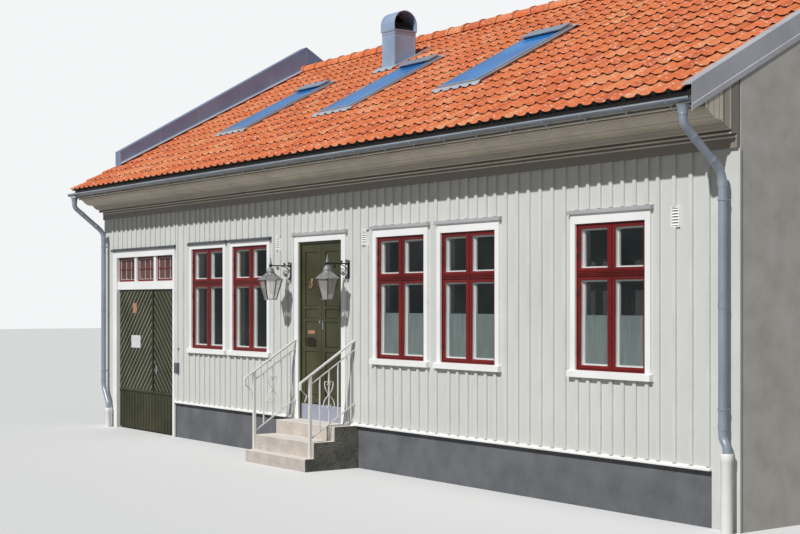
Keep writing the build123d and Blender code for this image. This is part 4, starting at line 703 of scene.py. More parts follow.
# Windows: a frame with a middle post and a cross rail, four hung sashes, panes, white linings behind
sash = {"frameBar": 0.014, "gap": 0.006, "bar": 0.032, "bevel": 0.009, "frameProud": 0.002,
        "hidden": 0.012, "cover": 0.016, "sashFront": -0.002, "sashBack": -0.018, "frameBack": -0.028,
        "pane": (-0.010, -0.014), "grip": 0.003, "lining": 0.030, "innerSash": 0.016,
        "liningFront": -0.050, "liningBack": -0.076, "film": (-0.058, -0.059), "filmShare": 0.59,
        "reeds": ((0.10, 0.006), (0.44, 0.009), (0.78, 0.013)),     # share of the rail's height, reach
        "hingeRadius": 0.0065, "hingeLength": 0.075, "hingeInset": 0.13, "hingeLeaf": 0.016}


def addSash(panes, frames, linings, films, y, a, b, z0, z1):
    # one light: the hung sash, its pane, the white lining and inner sash behind it, and film if any
    s = sash
    bar, edge, grip, into = s["bar"], s["lining"], s["grip"], s["innerSash"]
    addRing(frames, a - bar, b + bar, z0 - bar, z1 + bar, bar,
            y(s["sashFront"]), y(s["sashBack"]), s["bevel"])
    addBox(panes, a - grip, b + grip, y(s["pane"][0]), y(s["pane"][1]), z0 - grip, z1 + grip)
    around = (a - edge, b + edge, z0 - edge, z1 + edge)
    addRing(linings, *around, edge + into, y(s["liningFront"]), y(s["liningBack"]), 0.004)
    addRing(linings, *around, edge - 0.002, y(s["sashBack"] - 0.001), y(s["liningFront"]))
    if films is not None and z0 < railFoot:
        into -= 0.002
        addBox(films, a + into, b - into, y(s["film"][0]), y(s["film"][1]),
               z0 + into, z0 + (z1 - z0) * s["filmShare"])


def addHinge(built, x, level, y):
    s = sash
    knob, long, leaf = s["hingeRadius"], s["hingeLength"], s["hingeLeaf"]
    addTurned(built, Vector((x, y(0.005), level - long / 2)), upZ, (
        (-0.006, 0.002), (0, knob), (long * 0.49, knob), (long * 0.5, knob - 0.0015),
        (long * 0.51, knob), (long, knob), (long + 0.006, 0.002)), 10)
    tall = long / 2 - 0.004
    addBox(built, x - leaf, x + leaf, y(0.001), y(0.0035), level - tall, level + tall)


def windowParts():
    frames, linings, films, hinges = newMeshes(4)
    panes = {-1: bmesh.new(), 1: bmesh.new()}
    s = sash
    inner, bar, gap, cover = s["frameBar"], s["bar"], s["gap"], s["cover"]
    stile, mullion = openings["stile"], openings["mullion"]
    postHalf = mullion / 2 - bar - gap
    railZ0, railZ1 = railFoot + bar + gap, railHead - bar - gap
    for middle, face, outwards, _, film in windows:
        def y(reach):
            return face + outwards * reach

        x0, x1 = middle - halfWindow, middle + halfWindow
        front, rebate, back = y(s["frameProud"]), y(s["sashBack"] - 0.001), y(s["frameBack"])
        addRing(frames, x0, x1, windowFoot, windowHead, inner, front, rebate)
        addRing(frames, x0, x1, windowFoot, windowHead, inner + gap + s["hidden"], rebate, back)
        z0, z1 = windowFoot + inner, windowHead - inner
        addBox(frames, middle - postHalf, middle + postHalf, front, rebate, z0, z1, 0.002)
        addBox(frames, middle - postHalf - cover, middle + postHalf + cover, rebate, back, z0, z1)
        for a, b in ((x0 + inner, middle - postHalf), (middle + postHalf, x1 - inner)):
            addBox(frames, a, b, front, rebate, railZ0, railZ1, 0.002)
            addBox(frames, a, b, rebate, back, railZ0 - cover, railZ1 + cover)
        for share, reach in s["reeds"]:     # the cross rail throws rain off over its reeds
            reed = ((0, 0), (reach, 0.001), (reach + 0.003, 0.005), (reach, 0.009), (0, 0.012))
            z = railZ0 + (railZ1 - railZ0) * share
            addBar(frames, reed, x0 + inner, x1 - inner, front, z, outwards)
        for z0, z1 in ((windowFoot + stile, railFoot), (railHead, windowHead - stile)):
            for a, b in ((x0 + stile, middle - mullion / 2), (middle + mullion / 2, x1 - stile)):
                addSash(panes[outwards], frames, linings, films if film else None, y, a, b, z0, z1)
                outer = a - bar - gap / 2 if a < middle else b + bar + gap / 2
                for level in (z0 + s["hingeInset"], z1 - s["hingeInset"]):
                    addHinge(hinges, outer, level, y)
    addPiece("windowSashes", frames, redPaint, "red_joinery", "window_frames")
    addPiece("windowPanes", panes[-1], windowPane, "window_glass", "window_glass")
    addPiece("yardWindowPanes", panes[1], yardPaneShade, "window_glass", "window_glass")
    addPiece("innerSashes", linings, innerSashPaint, "white_joinery")
    addPiece("etchedWindowFilms", films, filmWhite, "window_glass")
    addPiece("windowHinges", hinges, hingeSteel, "dark_ironwork", smooth=True)


windowParts()
print("windows done")


# Sheet covers over the drip moulds, folded down at the front and at both ends
dripCover = {"sheet": 0.0025, "fold": 0.010}


def addDripCover(built, x0, x1, head, face, outwards):
    rise, edge = openings["dripRise"], openings["dripEdge"]
    reach, sheet, fold = openings["dripReach"], dripCover["sheet"], dripCover["fold"]
    outside = [(reach + sheet, edge + sheet), (0, rise + sheet)]
    top = [(0, rise), (reach, edge), (reach, -fold), (reach + sheet, -fold)] + outside
    end = [(0, -0.004), (reach + sheet, -fold - 0.006)] + outside
    for section, a, b in ((top, x0, x1), (end, x0 - sheet, x0), (end, x1, x1 + sheet)):
        addBar(built, section, a, b, face, head, outwards)


def dripCovers():
    dark, pale = newMeshes(2)
    lip = openings["overhang"]
    wide = halfWindow + openings["casing"] + lip
    for middle, face, outwards, headBoard, film in windows:
        built, head = pale if film else dark, windowHead + headBoard
        addDripCover(built, middle - wide, middle + wide, head, face, outwards)
    addDripCover(dark, gateEdges[0] - lip, gateEdges[1] + lip, gateTop, wallFace, -1)
    addDripCover(pale, doorEdges[0] - lip, doorEdges[1] + lip, doorTop, wallFace, -1)
    addPiece("darkDripCovers", dark, darkSheet, "grey_sheet_metal")
    addPiece("paleDripCovers", pale, coverSheet, "grey_sheet_metal")


dripCovers()


# Boards on the gate leaves: slanting ones over a weather rail, upright ones under it
gateBoards = {"recess": 0.04, "thick": 0.010, "arris": 0.0060, "slantPitch": 0.088, "uprightPitch": 0.105,
              "gap": 0.003, "edge": 0.002, "narrowest": 0.03, "headGap": 0.008, "uprightFoot": 0.022,
              "railFoot": 0.084, "railHead": 0.129, "railProud": 0.015, "strip": 0.032, "stripProud": 0.015}


def gateLeafBoards(name, body, leafX0, leafX1, isLeft):
    g = gateBoards
    boards, uprights, trim = newMeshes(3)
    origin = Vector((0, street(-g["recess"]), 0))
    railLow, railTop = above(g["railFoot"]), above(g["railHead"])
    head, edge = above(openings["gateLintel"]) - g["headGap"], g["edge"]
    boardX1 = leafX1 - (g["strip"] if isLeft else 0)
    field = rectangle(leafX0 + edge, boardX1 - edge, railTop + edge, head - edge)
    lean = Vector((-1 if isLeft else 1, 1)).normalized()
    # bevels towards lit are painted pale on the left leaf and lighter olive elsewhere: painted highlights
    lit = (-lean.x, -lean.y) if isLeft else (lean.x, lean.y)
    spots = [corner.dot(lean) for corner in field]
    for k in range(int((max(spots) - min(spots)) / g["slantPitch"]) + 1):
        low = min(spots) + k * g["slantPitch"]
        board = clipped(clipped(field, lean, low + g["slantPitch"] - g["gap"]), -lean, -low)
        board = [a for a, b in zip(board, board[1:] + board[:1]) if (a - b).length > 0.004]
        if len(board) < 3:
            continue
        size = [max(p[i] for p in board) - min(p[i] for p in board) for i in (0, 1)]
        if min(size) > g["narrowest"]:
            addPlate(boards, board, origin, g["thick"], g["arris"], lit)
    count = round((leafX1 - leafX0) / g["uprightPitch"])
    pitch = (leafX1 - leafX0 - 2 * edge) / count
    for k in range(count):
        x = leafX0 + edge + k * pitch
        board = rectangle(x, x + pitch - g["gap"], g["uprightFoot"], railLow - edge)
        addPlate(uprights, board, origin, g["thick"], g["arris"], (1, 0))
    addPlate(trim, rectangle(leafX0, leafX1, railLow, railTop), origin, g["railProud"], 0.007, (0, 1))
    edgeHighlight = gateEdgeHighlight if isLeft else gateEdgeSheen
    addPiece(name + "Boards", boards, (gatePaint, edgeHighlight), "green_joinery", body=body)
    addPiece(name + "Uprights", uprights, (gatePaint, gateEdgeSheen), "green_joinery", body=body)
    addPiece(name + "Rails", trim, (gatePaint, gateEdgeHighlight), "green_joinery", body=body)
    # the meeting strip is near-black: painted shade in the gap between the leaves
    if isLeft:
        strip = bmesh.new()
        addPlate(strip, rectangle(boardX1, leafX1, railTop + 0.001, head), origin, g["stripProud"], 0.006)
        addPiece(name + "MeetingStrip", strip, gateSeamShade, "green_joinery", body=body)


gateMeeting = gateX0 + openings["gateMeeting"]
gateLeafBoards("gateLeft", "gate_leaf_left", gateX0 + 0.008, gateMeeting - 0.004, True)
gateLeafBoards("gateRight", "gate_leaf_right", gateMeeting + 0.004, gateX1 - 0.008, False)


# Gate fittings: lever on its plate, keyhole, a blank notice card and a blank copper plate
gateFittings = {"plateMiddle": 0.094, "plate": (0.0200, 0.055, 0.070), "lever": 1.00, "leverLength": 0.115,
                "keyhole": 1.126, "keyholeAt": 0.045, "card": (-5.875, -5.535, 1.335, 1.537),
                "plaque": (-5.815, -5.675, 1.900, 2.060), "screwInset": 0.012}


def gateLever():
    g = gateFittings
    built = bmesh.new()
    front = street(-gateBoards["recess"] + gateBoards["thick"])
    x, z = gateMeeting + g["plateMiddle"], g["lever"]
    half, below, over = g["plate"]
    addPlate(built, rectangle(x - half, x + half, z - below, z + over), Vector((0, front, 0)), 0.004, 0.002)
    hub = Vector((x, front - 0.004, z))
    addTurned(built, hub, -acrossY, ((0, 0.014), (0.006, 0.014), (0.008, 0.009), (0.026, 0.008),
                                     (0.030, 0.006)), 14)
    grip = [hub - acrossY * 0.006, hub - acrossY * 0.026, hub + Vector((g["leverLength"], -0.026, -0.004))]
    addTube(built, rounded(grip, 0.016), lambda t: 0.0085 - 0.002 * t, 12)
    addTurned(built, (gateMeeting + g["keyholeAt"], front, g["keyhole"]), -acrossY,
              ((0, 0.018), (0.003, 0.018), (0.005, 0.012), (0.0052, 0.004)), 16)
    addPiece("gateLever", built, brightSteel, "aged_brass", "gate_handle",
             body="gate_leaf_right", smooth=True)


def gatePlates():
    g = gateFittings
    front = Vector((0, street(-gateBoards["recess"] + gateBoards["thick"] + 0.0006), 0))
    card, plaque = newMeshes(2)
    addPlate(card, rectangle(*g["card"]), front, 0.0012, 0.0004)
    addPlate(plaque, rectangle(*g["plaque"]), front, 0.003, 0.0015)
    x0, x1, z0, z1 = g["plaque"]
    inset = g["screwInset"]
    for x in (x0 + inset, x1 - inset):
        for z in (z0 + inset, z1 - inset):
            screw = ((0, 0.004), (0.0015, 0.0035), (0.002, 0.001))
            addTurned(plaque, (x, front.y - 0.0025, z), -acrossY, screw, 8)
    addPiece("blankNoticeCard", card, blankCard, "white_joinery", body="gate_leaf_left")
    addPiece("blankCopperPlaque", plaque, redCopper, "aged_brass", body="gate_leaf_left")


gateLever()
gatePlates()


# Transom sashes over the gate, each with glazing bars for three by two panes
transom = {"posts": 0.075, "foot": 1.880, "height": 0.397, "bar": 0.035, "recess": 0.035, "depth": 0.040,
           "slope": 0.008, "glazingBar": 0.016, "barBack": 0.018, "barArris": 0.005, "putty": 0.004}


def transomSashes():
    t = transom
    built, edges = newMeshes(2)
    bar, thin = t["bar"], t["glazingBar"]
    width = (openings["gateWidth"] - 2 * t["posts"]) / 3
    y0, y1 = street(-t["recess"]), street(-t["recess"] - t["depth"])
    y2 = y0 + t["barBack"]
    z0, z1 = above(t["foot"]), above(t["foot"] + t["height"])
    for light in range(3):
        x0 = gateX0 + light * (width + t["posts"])
        x1 = x0 + width
        addRing(built, x0, x1, z0, z1, bar, y0, y1, t["slope"])
        for k in (1, 2):
            x = x0 + bar + (width - 2 * bar) * k / 3
            addPrism(built, chamfered(thin, 0.016, t["barArris"]), Vector((x, y2, z0 + bar)),
                     Vector((x, y2, z1 - bar)), acrossX, -acrossY)
            addBox(edges, x + thin / 2, x + thin / 2 + t["putty"], y0 + 0.008, y2, z0 + bar, z1 - bar)
        middle = (z0 + z1) / 2
        addPrism(built, chamfered(thin, 0.0155, t["barArris"]), Vector((x0 + bar, y2, middle)),
                 Vector((x1 - bar, y2, middle)), upZ, -acrossY)
        rim = bar - 0.001
        addRing(edges, x0 + rim, x1 - rim, z0 + rim, z1 - rim, 0.005, y0 + 0.006, y2)
    addPiece("transomSashes", built, redPaint, "red_joinery", "gate_transom_sashes")
    addPiece("transomPuttyEdges", edges, whitePaint, "white_joinery")


transomSashes()

# A grey box and a bell push on the boards beside the gate, as x0, x1, z0, z1 and thickness
wallBox = {"body": (-4.205, -4.105, 0.985, 1.145), "thick": 0.045, "lid": (-4.195, -4.115, 1.004, 1.126),
           "bell": (-4.125, 1.356)}


def wallBoxes():
    built = bmesh.new()
    b = wallBox
    addPlate(built, rectangle(*b["body"]), Vector((0, wallFace, 0)), b["thick"], 0.006)
    addPlate(built, rectangle(*b["lid"]), Vector((0, wallFace - b["thick"], 0)), 0.004, 0.002)
    addTurned(built, (b["bell"][0], wallFace, b["bell"][1]), -acrossY,
              ((0, 0.017), (0.012, 0.016), (0.014, 0.009), (0.019, 0.007)), 16)
    addPiece("greyBoxAndBellPush", built, greyPlastic, "dark_ironwork")


wallBoxes()
print("gate done")


# Door fittings, all on the left leaf: letter plate with its flap, name plate, ring knocker.
# Plates are (width, height, level of the middle); the ring is (radius, thickness of its wire).
doorFittings = {"back": -0.018, "middle": -0.338,
                "letter": (0.215, 0.110, 1.555), "flap": (0.190, 0.042, 1.569), "hingePin": (0.08, 1.593),
                "name": (0.160, 0.045, 1.6805), "knocker": (0.046, 0.130, 2.320), "ring": (0.040, 0.0055),
                "ringDrop": 0.022}


def doorFurniture():
    d = doorFittings
    letter, name, knocker = newMeshes(3)
    base = Vector((d["middle"], street(d["back"]), 0))
    level = d["knocker"][2]

    def plate(built, size, thick, arris, lift=0.0):
        # a plate with its corners cut off
        a, b = size[0] / 2, size[1] / 2
        c = 0.2 * min(size[0], size[1])
        outline = [Vector(p) for p in ((-a + c, -b), (a - c, -b), (a, -b + c), (a, b - c),
                                       (a - c, b), (-a + c, b), (-a, b - c), (-a, -b + c))]
        addPlate(built, outline, base + upZ * size[2] - acrossY * lift, thick, arris)

    plate(letter, d["letter"], 0.010, 0.004)
    plate(letter, d["flap"], 0.006, 0.003, 0.010)
    reach, pin = d["hingePin"]
    addTube(letter, [base + Vector((x, -0.012, pin)) for x in (-reach, reach)], 0.004, 8)
    plate(name, d["name"], 0.0055, 0.002)
    plate(knocker, d["knocker"], 0.007, 0.004)
    ringRadius, wire = d["ring"]
    centre = base + Vector((0, -0.0125, level - d["ringDrop"]))
    rings = []
    for k in range(28):
        a = 2 * math.pi * k / 28
        outward = Vector((math.sin(a), 0, math.cos(a)))
        thick = wire * (0.75 + 0.25 * abs(math.sin(math.pi * k / 28)))
        rings.append(circleVerts(knocker, centre + outward * ringRadius, outward, -acrossY, thick, 10))
    joinRings(knocker, rings, closed=True)
    addTurned(knocker, base + Vector((0, -0.006, level + 0.018)), -acrossY,
              ((0, 0.014), (0.005, 0.013), (0.010, 0.009), (0.012, 0.003)), 14)
    addTurned(knocker, base + Vector((0, -0.004, level - 0.055)), -acrossY,
              ((0, 0.009), (0.004, 0.008), (0.006, 0.002)), 12)
    for pieceName, built, metal in (("letterPlate", letter, darkBronze),
                                    ("namePlateBlank", name, redCopper),
                                    ("ringKnocker", knocker, agedBrass)):
        addPiece(pieceName, built, metal, "aged_brass", "door_fittings",
                 body="door_leaf_left", smooth=built is knocker)


doorFurniture()


# Entrance steps: granite blocks with worn, rounded arrises
steps = {"arris": 0.010, "names": {"landing": "landingSlab", "middle_step": "middleStepBlock",
                                   "bottom_step": "bottomStepSlab"}}


def stoneBlock(nodeName, name):
    low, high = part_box(nodeName)
    built = bmesh.new()
    addBox(built, low.x, high.x, low.y, high.y, low.z, high.z)
    worn = []
    for edge in built.edges:
        a, b = (v.co for v in edge.verts)
        if max(a.y, b.y) >= high.y - 0.001 or max(a.z, b.z) <= 0.01:
            continue
        if abs(a.z - high.z) < 0.001 or abs(a.x - b.x) < 0.001:
            worn.append(edge)
    bmesh.ops.bevel(built, geom=worn, offset=steps["arris"], segments=3, profile=0.5, affect="EDGES")
    addPiece(name, built, stepGranite, "step_stone", nodeName)


for nodeName, name in steps["names"].items():
    stoneBlock(nodeName, name)
print("door and steps done")


# Lanterns: wrought scrolls on the wall brackets, ribs and glazing bars on the heads
lantern = {"axis": 0.33, "plate": (0.060, 0.235, 0.012), "plateHead": 2.075, "arm": 2.030, "armBar": 0.016,
           "brace": 0.150, "wire": 0.0045, "eye": (0.022, 0.0125, 0.026), "foot": 1.587, "eaves": 1.840,
           "footRadius": 0.080, "eavesRadius": 0.155, "lip": 0.012, "roofRise": 0.095, "capRadius": 0.042,
           "domeDrop": 0.030, "dome": ((0, 0.070), (0.012, 0.059), (0.030, 0.051), (0.034, 0.055),
                                       (0.042, 0.055), (0.046, 0.050), (0.060, 0.048), (0.078, 0.041),
                                       (0.094, 0.028), (0.104, 0.016), (0.112, 0.012)),
           "knobRise": 0.088, "knob": ((0, 0.004), (0.004, 0.010), (0.009, 0.012), (0.013, 0.010),
                                       (0.017, 0.004)),
           "turns": (0, 30)}     # how each head is turned about its axis, in degrees


def spiral(centre, radius, start, turns, tight=0.25):
    # a flat scroll in (reach, height), winding in from radius
    path = []
    count = int(abs(turns) * 22)
    for k in range(count + 1):
        t = k / count
        a = math.radians(start) + turns * 2 * math.pi * t
        r = radius * (1 - (1 - tight) * t)
        path.append((centre[0] + r * math.cos(a), centre[1] + r * math.sin(a)))
    return path


def lanternBracket(built, x):
    g = lantern
    width, tall, thick = g["plate"]
    half, head = width / 2, g["plateHead"]
    foot = head - tall
    neck = 0.6 * half
    right = ((neck, foot + 0.012), (half, foot + 0.035), (half, head - 0.035), (neck, head - 0.012))
    outline = [(0, foot), *right, (0, head), *[(-a, level) for a, level in right[::-1]]]
    outline = [Vector((a, above(level))) for a, level in outline]
    addPlate(built, outline, Vector((x, wallFace, 0)), thick, 0.004)
    for screwZ in (above(foot + 0.05), above(head - 0.024)):
        screw = ((0, 0.008), (0.003, 0.007), (0.005, 0.002))
        addTurned(built, (x, wallFace - thick, screwZ), -acrossY, screw, 10)
    arm, bar = g["arm"], g["armBar"] / 2
    eyeRadius, hole, eyeHeight = g["eye"]
    addBox(built, x - bar, x + bar, street(g["axis"] - eyeRadius + 0.004), street(thick),
           above(arm) - bar, above(arm) + bar, 0.003)
    axis = Vector((x, street(g["axis"]), above(arm)))
    eyeLow, eyeHigh = -eyeHeight / 2, eyeHeight / 2
    eye = ((eyeRadius, eyeLow), (eyeRadius, eyeHigh), (hole, eyeHigh), (hole, eyeLow))
    joinRings(built, [circleVerts(built, axis + upZ * rise, acrossX, acrossY, radius, 20)
                      for radius, rise in eye], closed=True)
    under, over = arm - bar, arm + bar
    reach, brace = thick + g["brace"], g["brace"]
    low = under - brace
    quarter = [(reach + a, low + b) for a, b in arc(brace, 180, 90, 12)]
    inner = brace * 0.60 * 0.707
    # each scroll: centre, radius, angle it starts at, turns, and how tight it ends
    scrolls = [
        spiral((thick + 0.0257, under - 0.0257), 0.024, 135, 1.0, 0.98),
        spiral((reach - inner, low + inner), 0.050, 135, 1.6, 0.22),
        spiral((reach + 0.052, under - 0.026), 0.025, 90, -1.4),
        spiral((thick + 0.022, low - 0.020), 0.021, 90, -1.3),
        spiral((thick + 0.026, over + 0.024), 0.023, 270, 1.3),
        spiral((thick + 0.105, over + 0.016), 0.0155, 270, -1.3, 0.3),
        spiral((thick + 0.075, low + 0.030), 0.026, 60, -1.3),
    ]
    for line in [quarter] + scrolls:
        path = [Vector((x, street(reach), above(level))) for reach, level in line]
        addTube(built, path, g["wire"], 8)
        if line is not quarter:
            addTurned(built, path[-1] - acrossX * 0.006, acrossX,
                      ((0, 0.003), (0.003, 0.0075), (0.009, 0.0075), (0.012, 0.003)), 10)


def lanternTrim(ribs, bars, x, turn):
    g = lantern
    axis = Vector((x, street(g["axis"]), 0))
    eaves, foot = above(g["eaves"]), above(g["foot"])
    cap = eaves + g["roofRise"]
    footRadius, eavesRadius, capRadius = g["footRadius"], g["eavesRadius"], g["capRadius"]
    lipRadius = eavesRadius + g["lip"] - 0.002

    def corner(number, radius, level):
        a = math.radians(turn + number * 60)
        return axis + Vector((math.cos(a) * radius, math.sin(a) * radius, level))

    for k in range(6):
        addTube(ribs, [corner(k, lipRadius, eaves + 0.002), corner(k, capRadius, cap + 0.001)], 0.0045, 8)
        addTube(ribs, [corner(i, lipRadius - 0.001, eaves) for i in (k, k + 1)], 0.0055, 8)
        addTube(ribs, [corner(i, footRadius + 0.002, foot - 0.005) for i in (k, k + 1)], 0.006, 8)
        glazing = [corner(k, footRadius + 0.001, foot), corner(k, eavesRadius + 0.001, eaves)]
        addTube(bars, glazing, 0.0055, 6)
    addTurned(ribs, axis + upZ * (cap - g["domeDrop"]), upZ, g["dome"], 24)
    addTurned(ribs, axis + upZ * (above(g["arm"]) + g["knobRise"]), upZ, g["knob"], 14)


def lanterns():
    iron, ribs, bars = newMeshes(3)
    for x, turn in zip(lanternX, lantern["turns"]):
        lanternBracket(iron, x)
        lanternTrim(ribs, bars, x, turn)
    addPiece("scrolledLanternBrackets", iron, darkIron, "dark_ironwork", "lantern_brackets", smooth=True)
    addPiece("lanternRoofRibs", ribs, lanternCopper, "lantern_copper", smooth=True)
    addPiece("lanternGlazingBars", bars, darkIron, "dark_ironwork", smooth=True)


lanterns()


# Cornice: fillets along the mouldings, painted pale as painted highlights, as (reach from the wall, height,
# radius)
corniceFillets = (
    (0.525, 3.806, 0.010), (0.484, 3.808, 0.008), (0.456, 3.788, 0.010), (0.403, 3.778, 0.009),
    (0.330, 3.759, 0.006), (0.262, 3.732, 0.006), (0.216, 3.704, 0.010), (0.197, 3.679, 0.007),
    (0.150, 3.660, 0.006), (0.103, 3.627, 0.009), (0.101, 3.587, 0.008), (0.032, 3.560, 0.009))


def corniceLines():
    built = bmesh.new()
    low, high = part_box("cornices")
    for face, out in wallSides:
        for reach, level, radius in corniceFillets:
            line = [Vector((x, face + out * reach, level)) for x in (low.x + 0.001, high.x - 0.001)]
            addTube(built, line, radius, 10)
    addPiece("corniceFillets", built, filletHighlight, "cornice_boards", smooth=True)


corniceLines()


# Louvred vents in the wall; a blade is (reach, share of the pitch) pairs
ventGrille = {"frame": 0.011, "proud": 0.020, "blades": 6,
              "blade": ((0.004, 0.95), (0.018, 0.30), (0.018, 0.22), (0.004, 0.80))}


def ventGrilles():
    built, slotShade = newMeshes(2)
    g = ventGrille
    width, height = openings["ventSize"]
    edge = g["frame"]
    pitch = (height - 2 * edge) / g["blades"]
    for vent in openings["vents"]:
        x0, z0 = station(vent) - width / 2, above(openings["ventFoot"])
        x1, z1 = x0 + width, z0 + height
        addRing(built, x0, x1, z0, z1, edge, street(g["proud"]), street(0))
        # a black plate behind the blades: painted shade in the vent
        addBox(slotShade, x0 + edge, x1 - edge, street(0.003), street(0), z0 + edge, z1 - edge)
        for k in range(g["blades"]):
            blade = [(reach, pitch * share) for reach, share in g["blade"]]
            addBar(built, blade, x0 + edge, x1 - edge, wallFace, z0 + edge + k * pitch)
    addPiece("ventLouvres", built, whitePaint, "white_joinery", "wall_vents")
    addPiece("ventSlotShade", slotShade, feltAndShadeBlack, "white_joinery")


ventGrilles()
print("lanterns and vents done")


# The roof's slope, and how to stand on it: metres along the house, up the slope, and out of it
roof = {"pitch": 28, "courses": 16, "columns": 72, "relief": 0.027, "lift": 0.020, "thickness": 0.012,
        "overlap": 0.07, "segments": 14, "narrow": 6.5,
        "jog": 0.005, "tip": (-0.003, 0.001), "skew": 0.012, "spread": 0.24}     # how unevenly tiles lie
roofLow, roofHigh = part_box("tiles_front")
ridgeY = roofHigh.y
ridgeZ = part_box("ridge_tiles")[1].z - 0.075
pitchAngle = math.radians(roof["pitch"])
slopeSine, slopeCosine = math.sin(pitchAngle), math.cos(pitchAngle)
slopeLength = (ridgeY - roofLow.y) / slopeCosine
eaveReach = wallFace - roofLow.y
tileX0, tileX1 = roofLow.x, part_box("verge_right")[0].x + 0.03
tileCover = (tileX1 - tileX0) / roof["columns"]
tileGauge = slopeLength / roof["courses"]


def onSlope(side, x, s, n):
    # side is -1 on the street slope and 1 on the yard slope
    eave = Vector((x, ridgeY + side * slopeLength * slopeCosine, ridgeZ - slopeLength * slopeSine))
    uphill, normal = Vector((0, -side * slopeCosine, slopeSine)), Vector((0, side * slopeSine, slopeCosine))
    return eave + uphill * s + normal * n


def rollHeight(u):
    # height over the pan, for u from 0 to 1 across one tile: a narrow roll beside a shallow pan
    wave = (1 + math.cos(2 * math.pi * (u - 0.05 * math.sin(2 * math.pi * u)))) / 2
    return roof["relief"] * (0.86 * wave ** roof["narrow"] + 0.14 * wave ** 0.8)


def firedTone(spread):
    # how hard one tile was fired, which the clay material turns into its orange
    return 0.25 + 0.75 * min(max(random.gauss(0.5, spread), 0), 1)


def addTiles(name, points, faces, toneAndEdgeShade, nodeName):
    made = addObject(name, pointMesh(name, points, faces), (clay,), 40)
    made.data.attributes.new("toneAndEdgeShade", "FLOAT", "FACE").data.foreach_set("value", toneAndEdgeShade)
    place(made, "house", "clay_tile", nodeName)
    print(name, "has", len(faces), "faces")


def tileField(name, side, holes, nodeName):
    # holes are (x0, x1, foot, head) up the slope
    points, faces, toneAndEdgeShade = [], [], []
    overlap, thickness = roof["overlap"], roof["thickness"]

    def spot(x, s, n):
        points.append(onSlope(side, x, s, n))
        return len(points) - 1

    for course in range(roof["courses"]):
        foot = course * tileGauge
        head = min(foot + tileGauge + overlap, slopeLength)
        for column in range(roof["columns"]):
            jog = random.uniform(-roof["jog"], roof["jog"])
            tip = random.uniform(*roof["tip"])
            skew = random.uniform(-roof["skew"], roof["skew"])
            tone = firedTone(roof["spread"])
            start = tileX0 + column * tileCover
            s0 = foot + (jog if course else 0)
            xs = {start + tileCover * k / roof["segments"] for k in range(roof["segments"] + 1)}
            ss = {s0, head}
            stop = start + tileCover
            inside = [h for h in holes if h[0] < stop and h[1] > start and h[2] < head and h[3] > s0]
            for h in inside:
                xs |= {v for v in h[:2] if start < v < stop}
                ss |= {v for v in h[2:] if s0 < v < head}
            xs, ss = sorted(xs), sorted(ss)

            def top(x, s):
                # the tile leans: its lower edge is lifted on the course below
                lean = roof["lift"] * (1 - (s - s0) / tileGauge)
                twist = skew * (x - start - tileCover / 2)
                roll = rollHeight((x - start) / tileCover) - roof["relief"]
                return roll + lean - roof["lift"] + tip + twist

            def kept(x, s):
                return not any(h[0] < x < h[1] and h[2] < s < h[3] for h in inside)

            grid = [[spot(x, s, top(x, s)) for s in ss] for x in xs]
            for i, (x, nextX) in enumerate(zip(xs, xs[1:])):
                here, there = grid[i], grid[i + 1]
                for j in range(len(ss) - 1):
                    if kept((x + nextX) / 2, (ss[j] + ss[j + 1]) / 2):
                        faces.append((here[j], there[j], there[j + 1], here[j + 1]))
                        toneAndEdgeShade.append(tone)
                if kept((x + nextX) / 2, s0 + 0.001):
                    # the lower edge and underside take values the clay paints near-black: painted shade
                    # under the tile
                    a, b, c, d = (spot(v, s, top(v, s0) - thickness) for v, s in (
                        (x, s0 + 0.002), (nextX, s0 + 0.002), (nextX, s0 + overlap), (x, s0 + overlap)))
                    faces += [(a, b, there[0], here[0]), (d, c, b, a)]
                    toneAndEdgeShade += [0.03, 0.0]
    if side > 0:
        faces = [face[::-1] for face in faces]
    addTiles(name, points, faces, toneAndEdgeShade, nodeName)


roofWindow = {"lefts": (2.55, 5.42, 8.18), "width": 0.78, "foot": 1.65, "length": 1.80, "ring": 0.036,
              "proud": 0.028, "deep": 0.12, "bead": 0.010, "rebate": 0.004, "hood": 0.230,
              "hoodRise": 0.036, "hoodGap": 0.017, "hoodEdge": 0.004, "hoodBack": 0.05,
              "apron": 0.075, "apronSide": 0.090, "side": 0.030, "above": 0.09, "sheet": 0.003}
stack = {"left": 4.47, "width": 0.33, "front": 2.60, "depth": 0.40, "side": 0.105, "hole": 0.06,
         "before": 0.05, "behind": 0.20, "welt": 0.012, "recess": -0.045, "skirt": 0.13,
         "sheetFoot": -0.07, "seamShares": (0.04, 0.96), "seam": (0.003, 0.006, -0.02),
         "flue": ((0.03, 0.010, 0.060, 0), (0.06, 0.060, 0.130, 0.004)), "barrel": 0.012,
         "baffle": (0.05, 0.056), "skirtFoot": 0.01, "skirtLift": 0.005,
         "bands": ((0.050, 0.042, 0.006), (0.012, 0, 0.011))}     # foot and top under the head, reach
stackX0 = station(stack["left"])
stackX1 = stackX0 + stack["width"]
stackS0 = (eaveReach + stack["front"]) / slopeCosine
stackS1 = (eaveReach + stack["front"] + stack["depth"]) / slopeCosine
upstand = (leftEnd - 1, leftEnd + 0.2, (eaveReach + 0.2) / slopeCosine, slopeLength + 1)
streetHoles = [upstand, (stackX0 - stack["side"], stackX1 + stack["side"],
                         stackS0 - stack["hole"], stackS1 + stack["behind"])]
for left in roofWindow["lefts"]:
    streetHoles.append((station(left), station(left) + roofWindow["width"],
                        roofWindow["foot"], roofWindow["foot"] + roofWindow["length"]))
tileField("pantilesStreet", -1, streetHoles, "tiles_front")
tileField("pantilesYard", 1, [upstand], "tiles_rear")


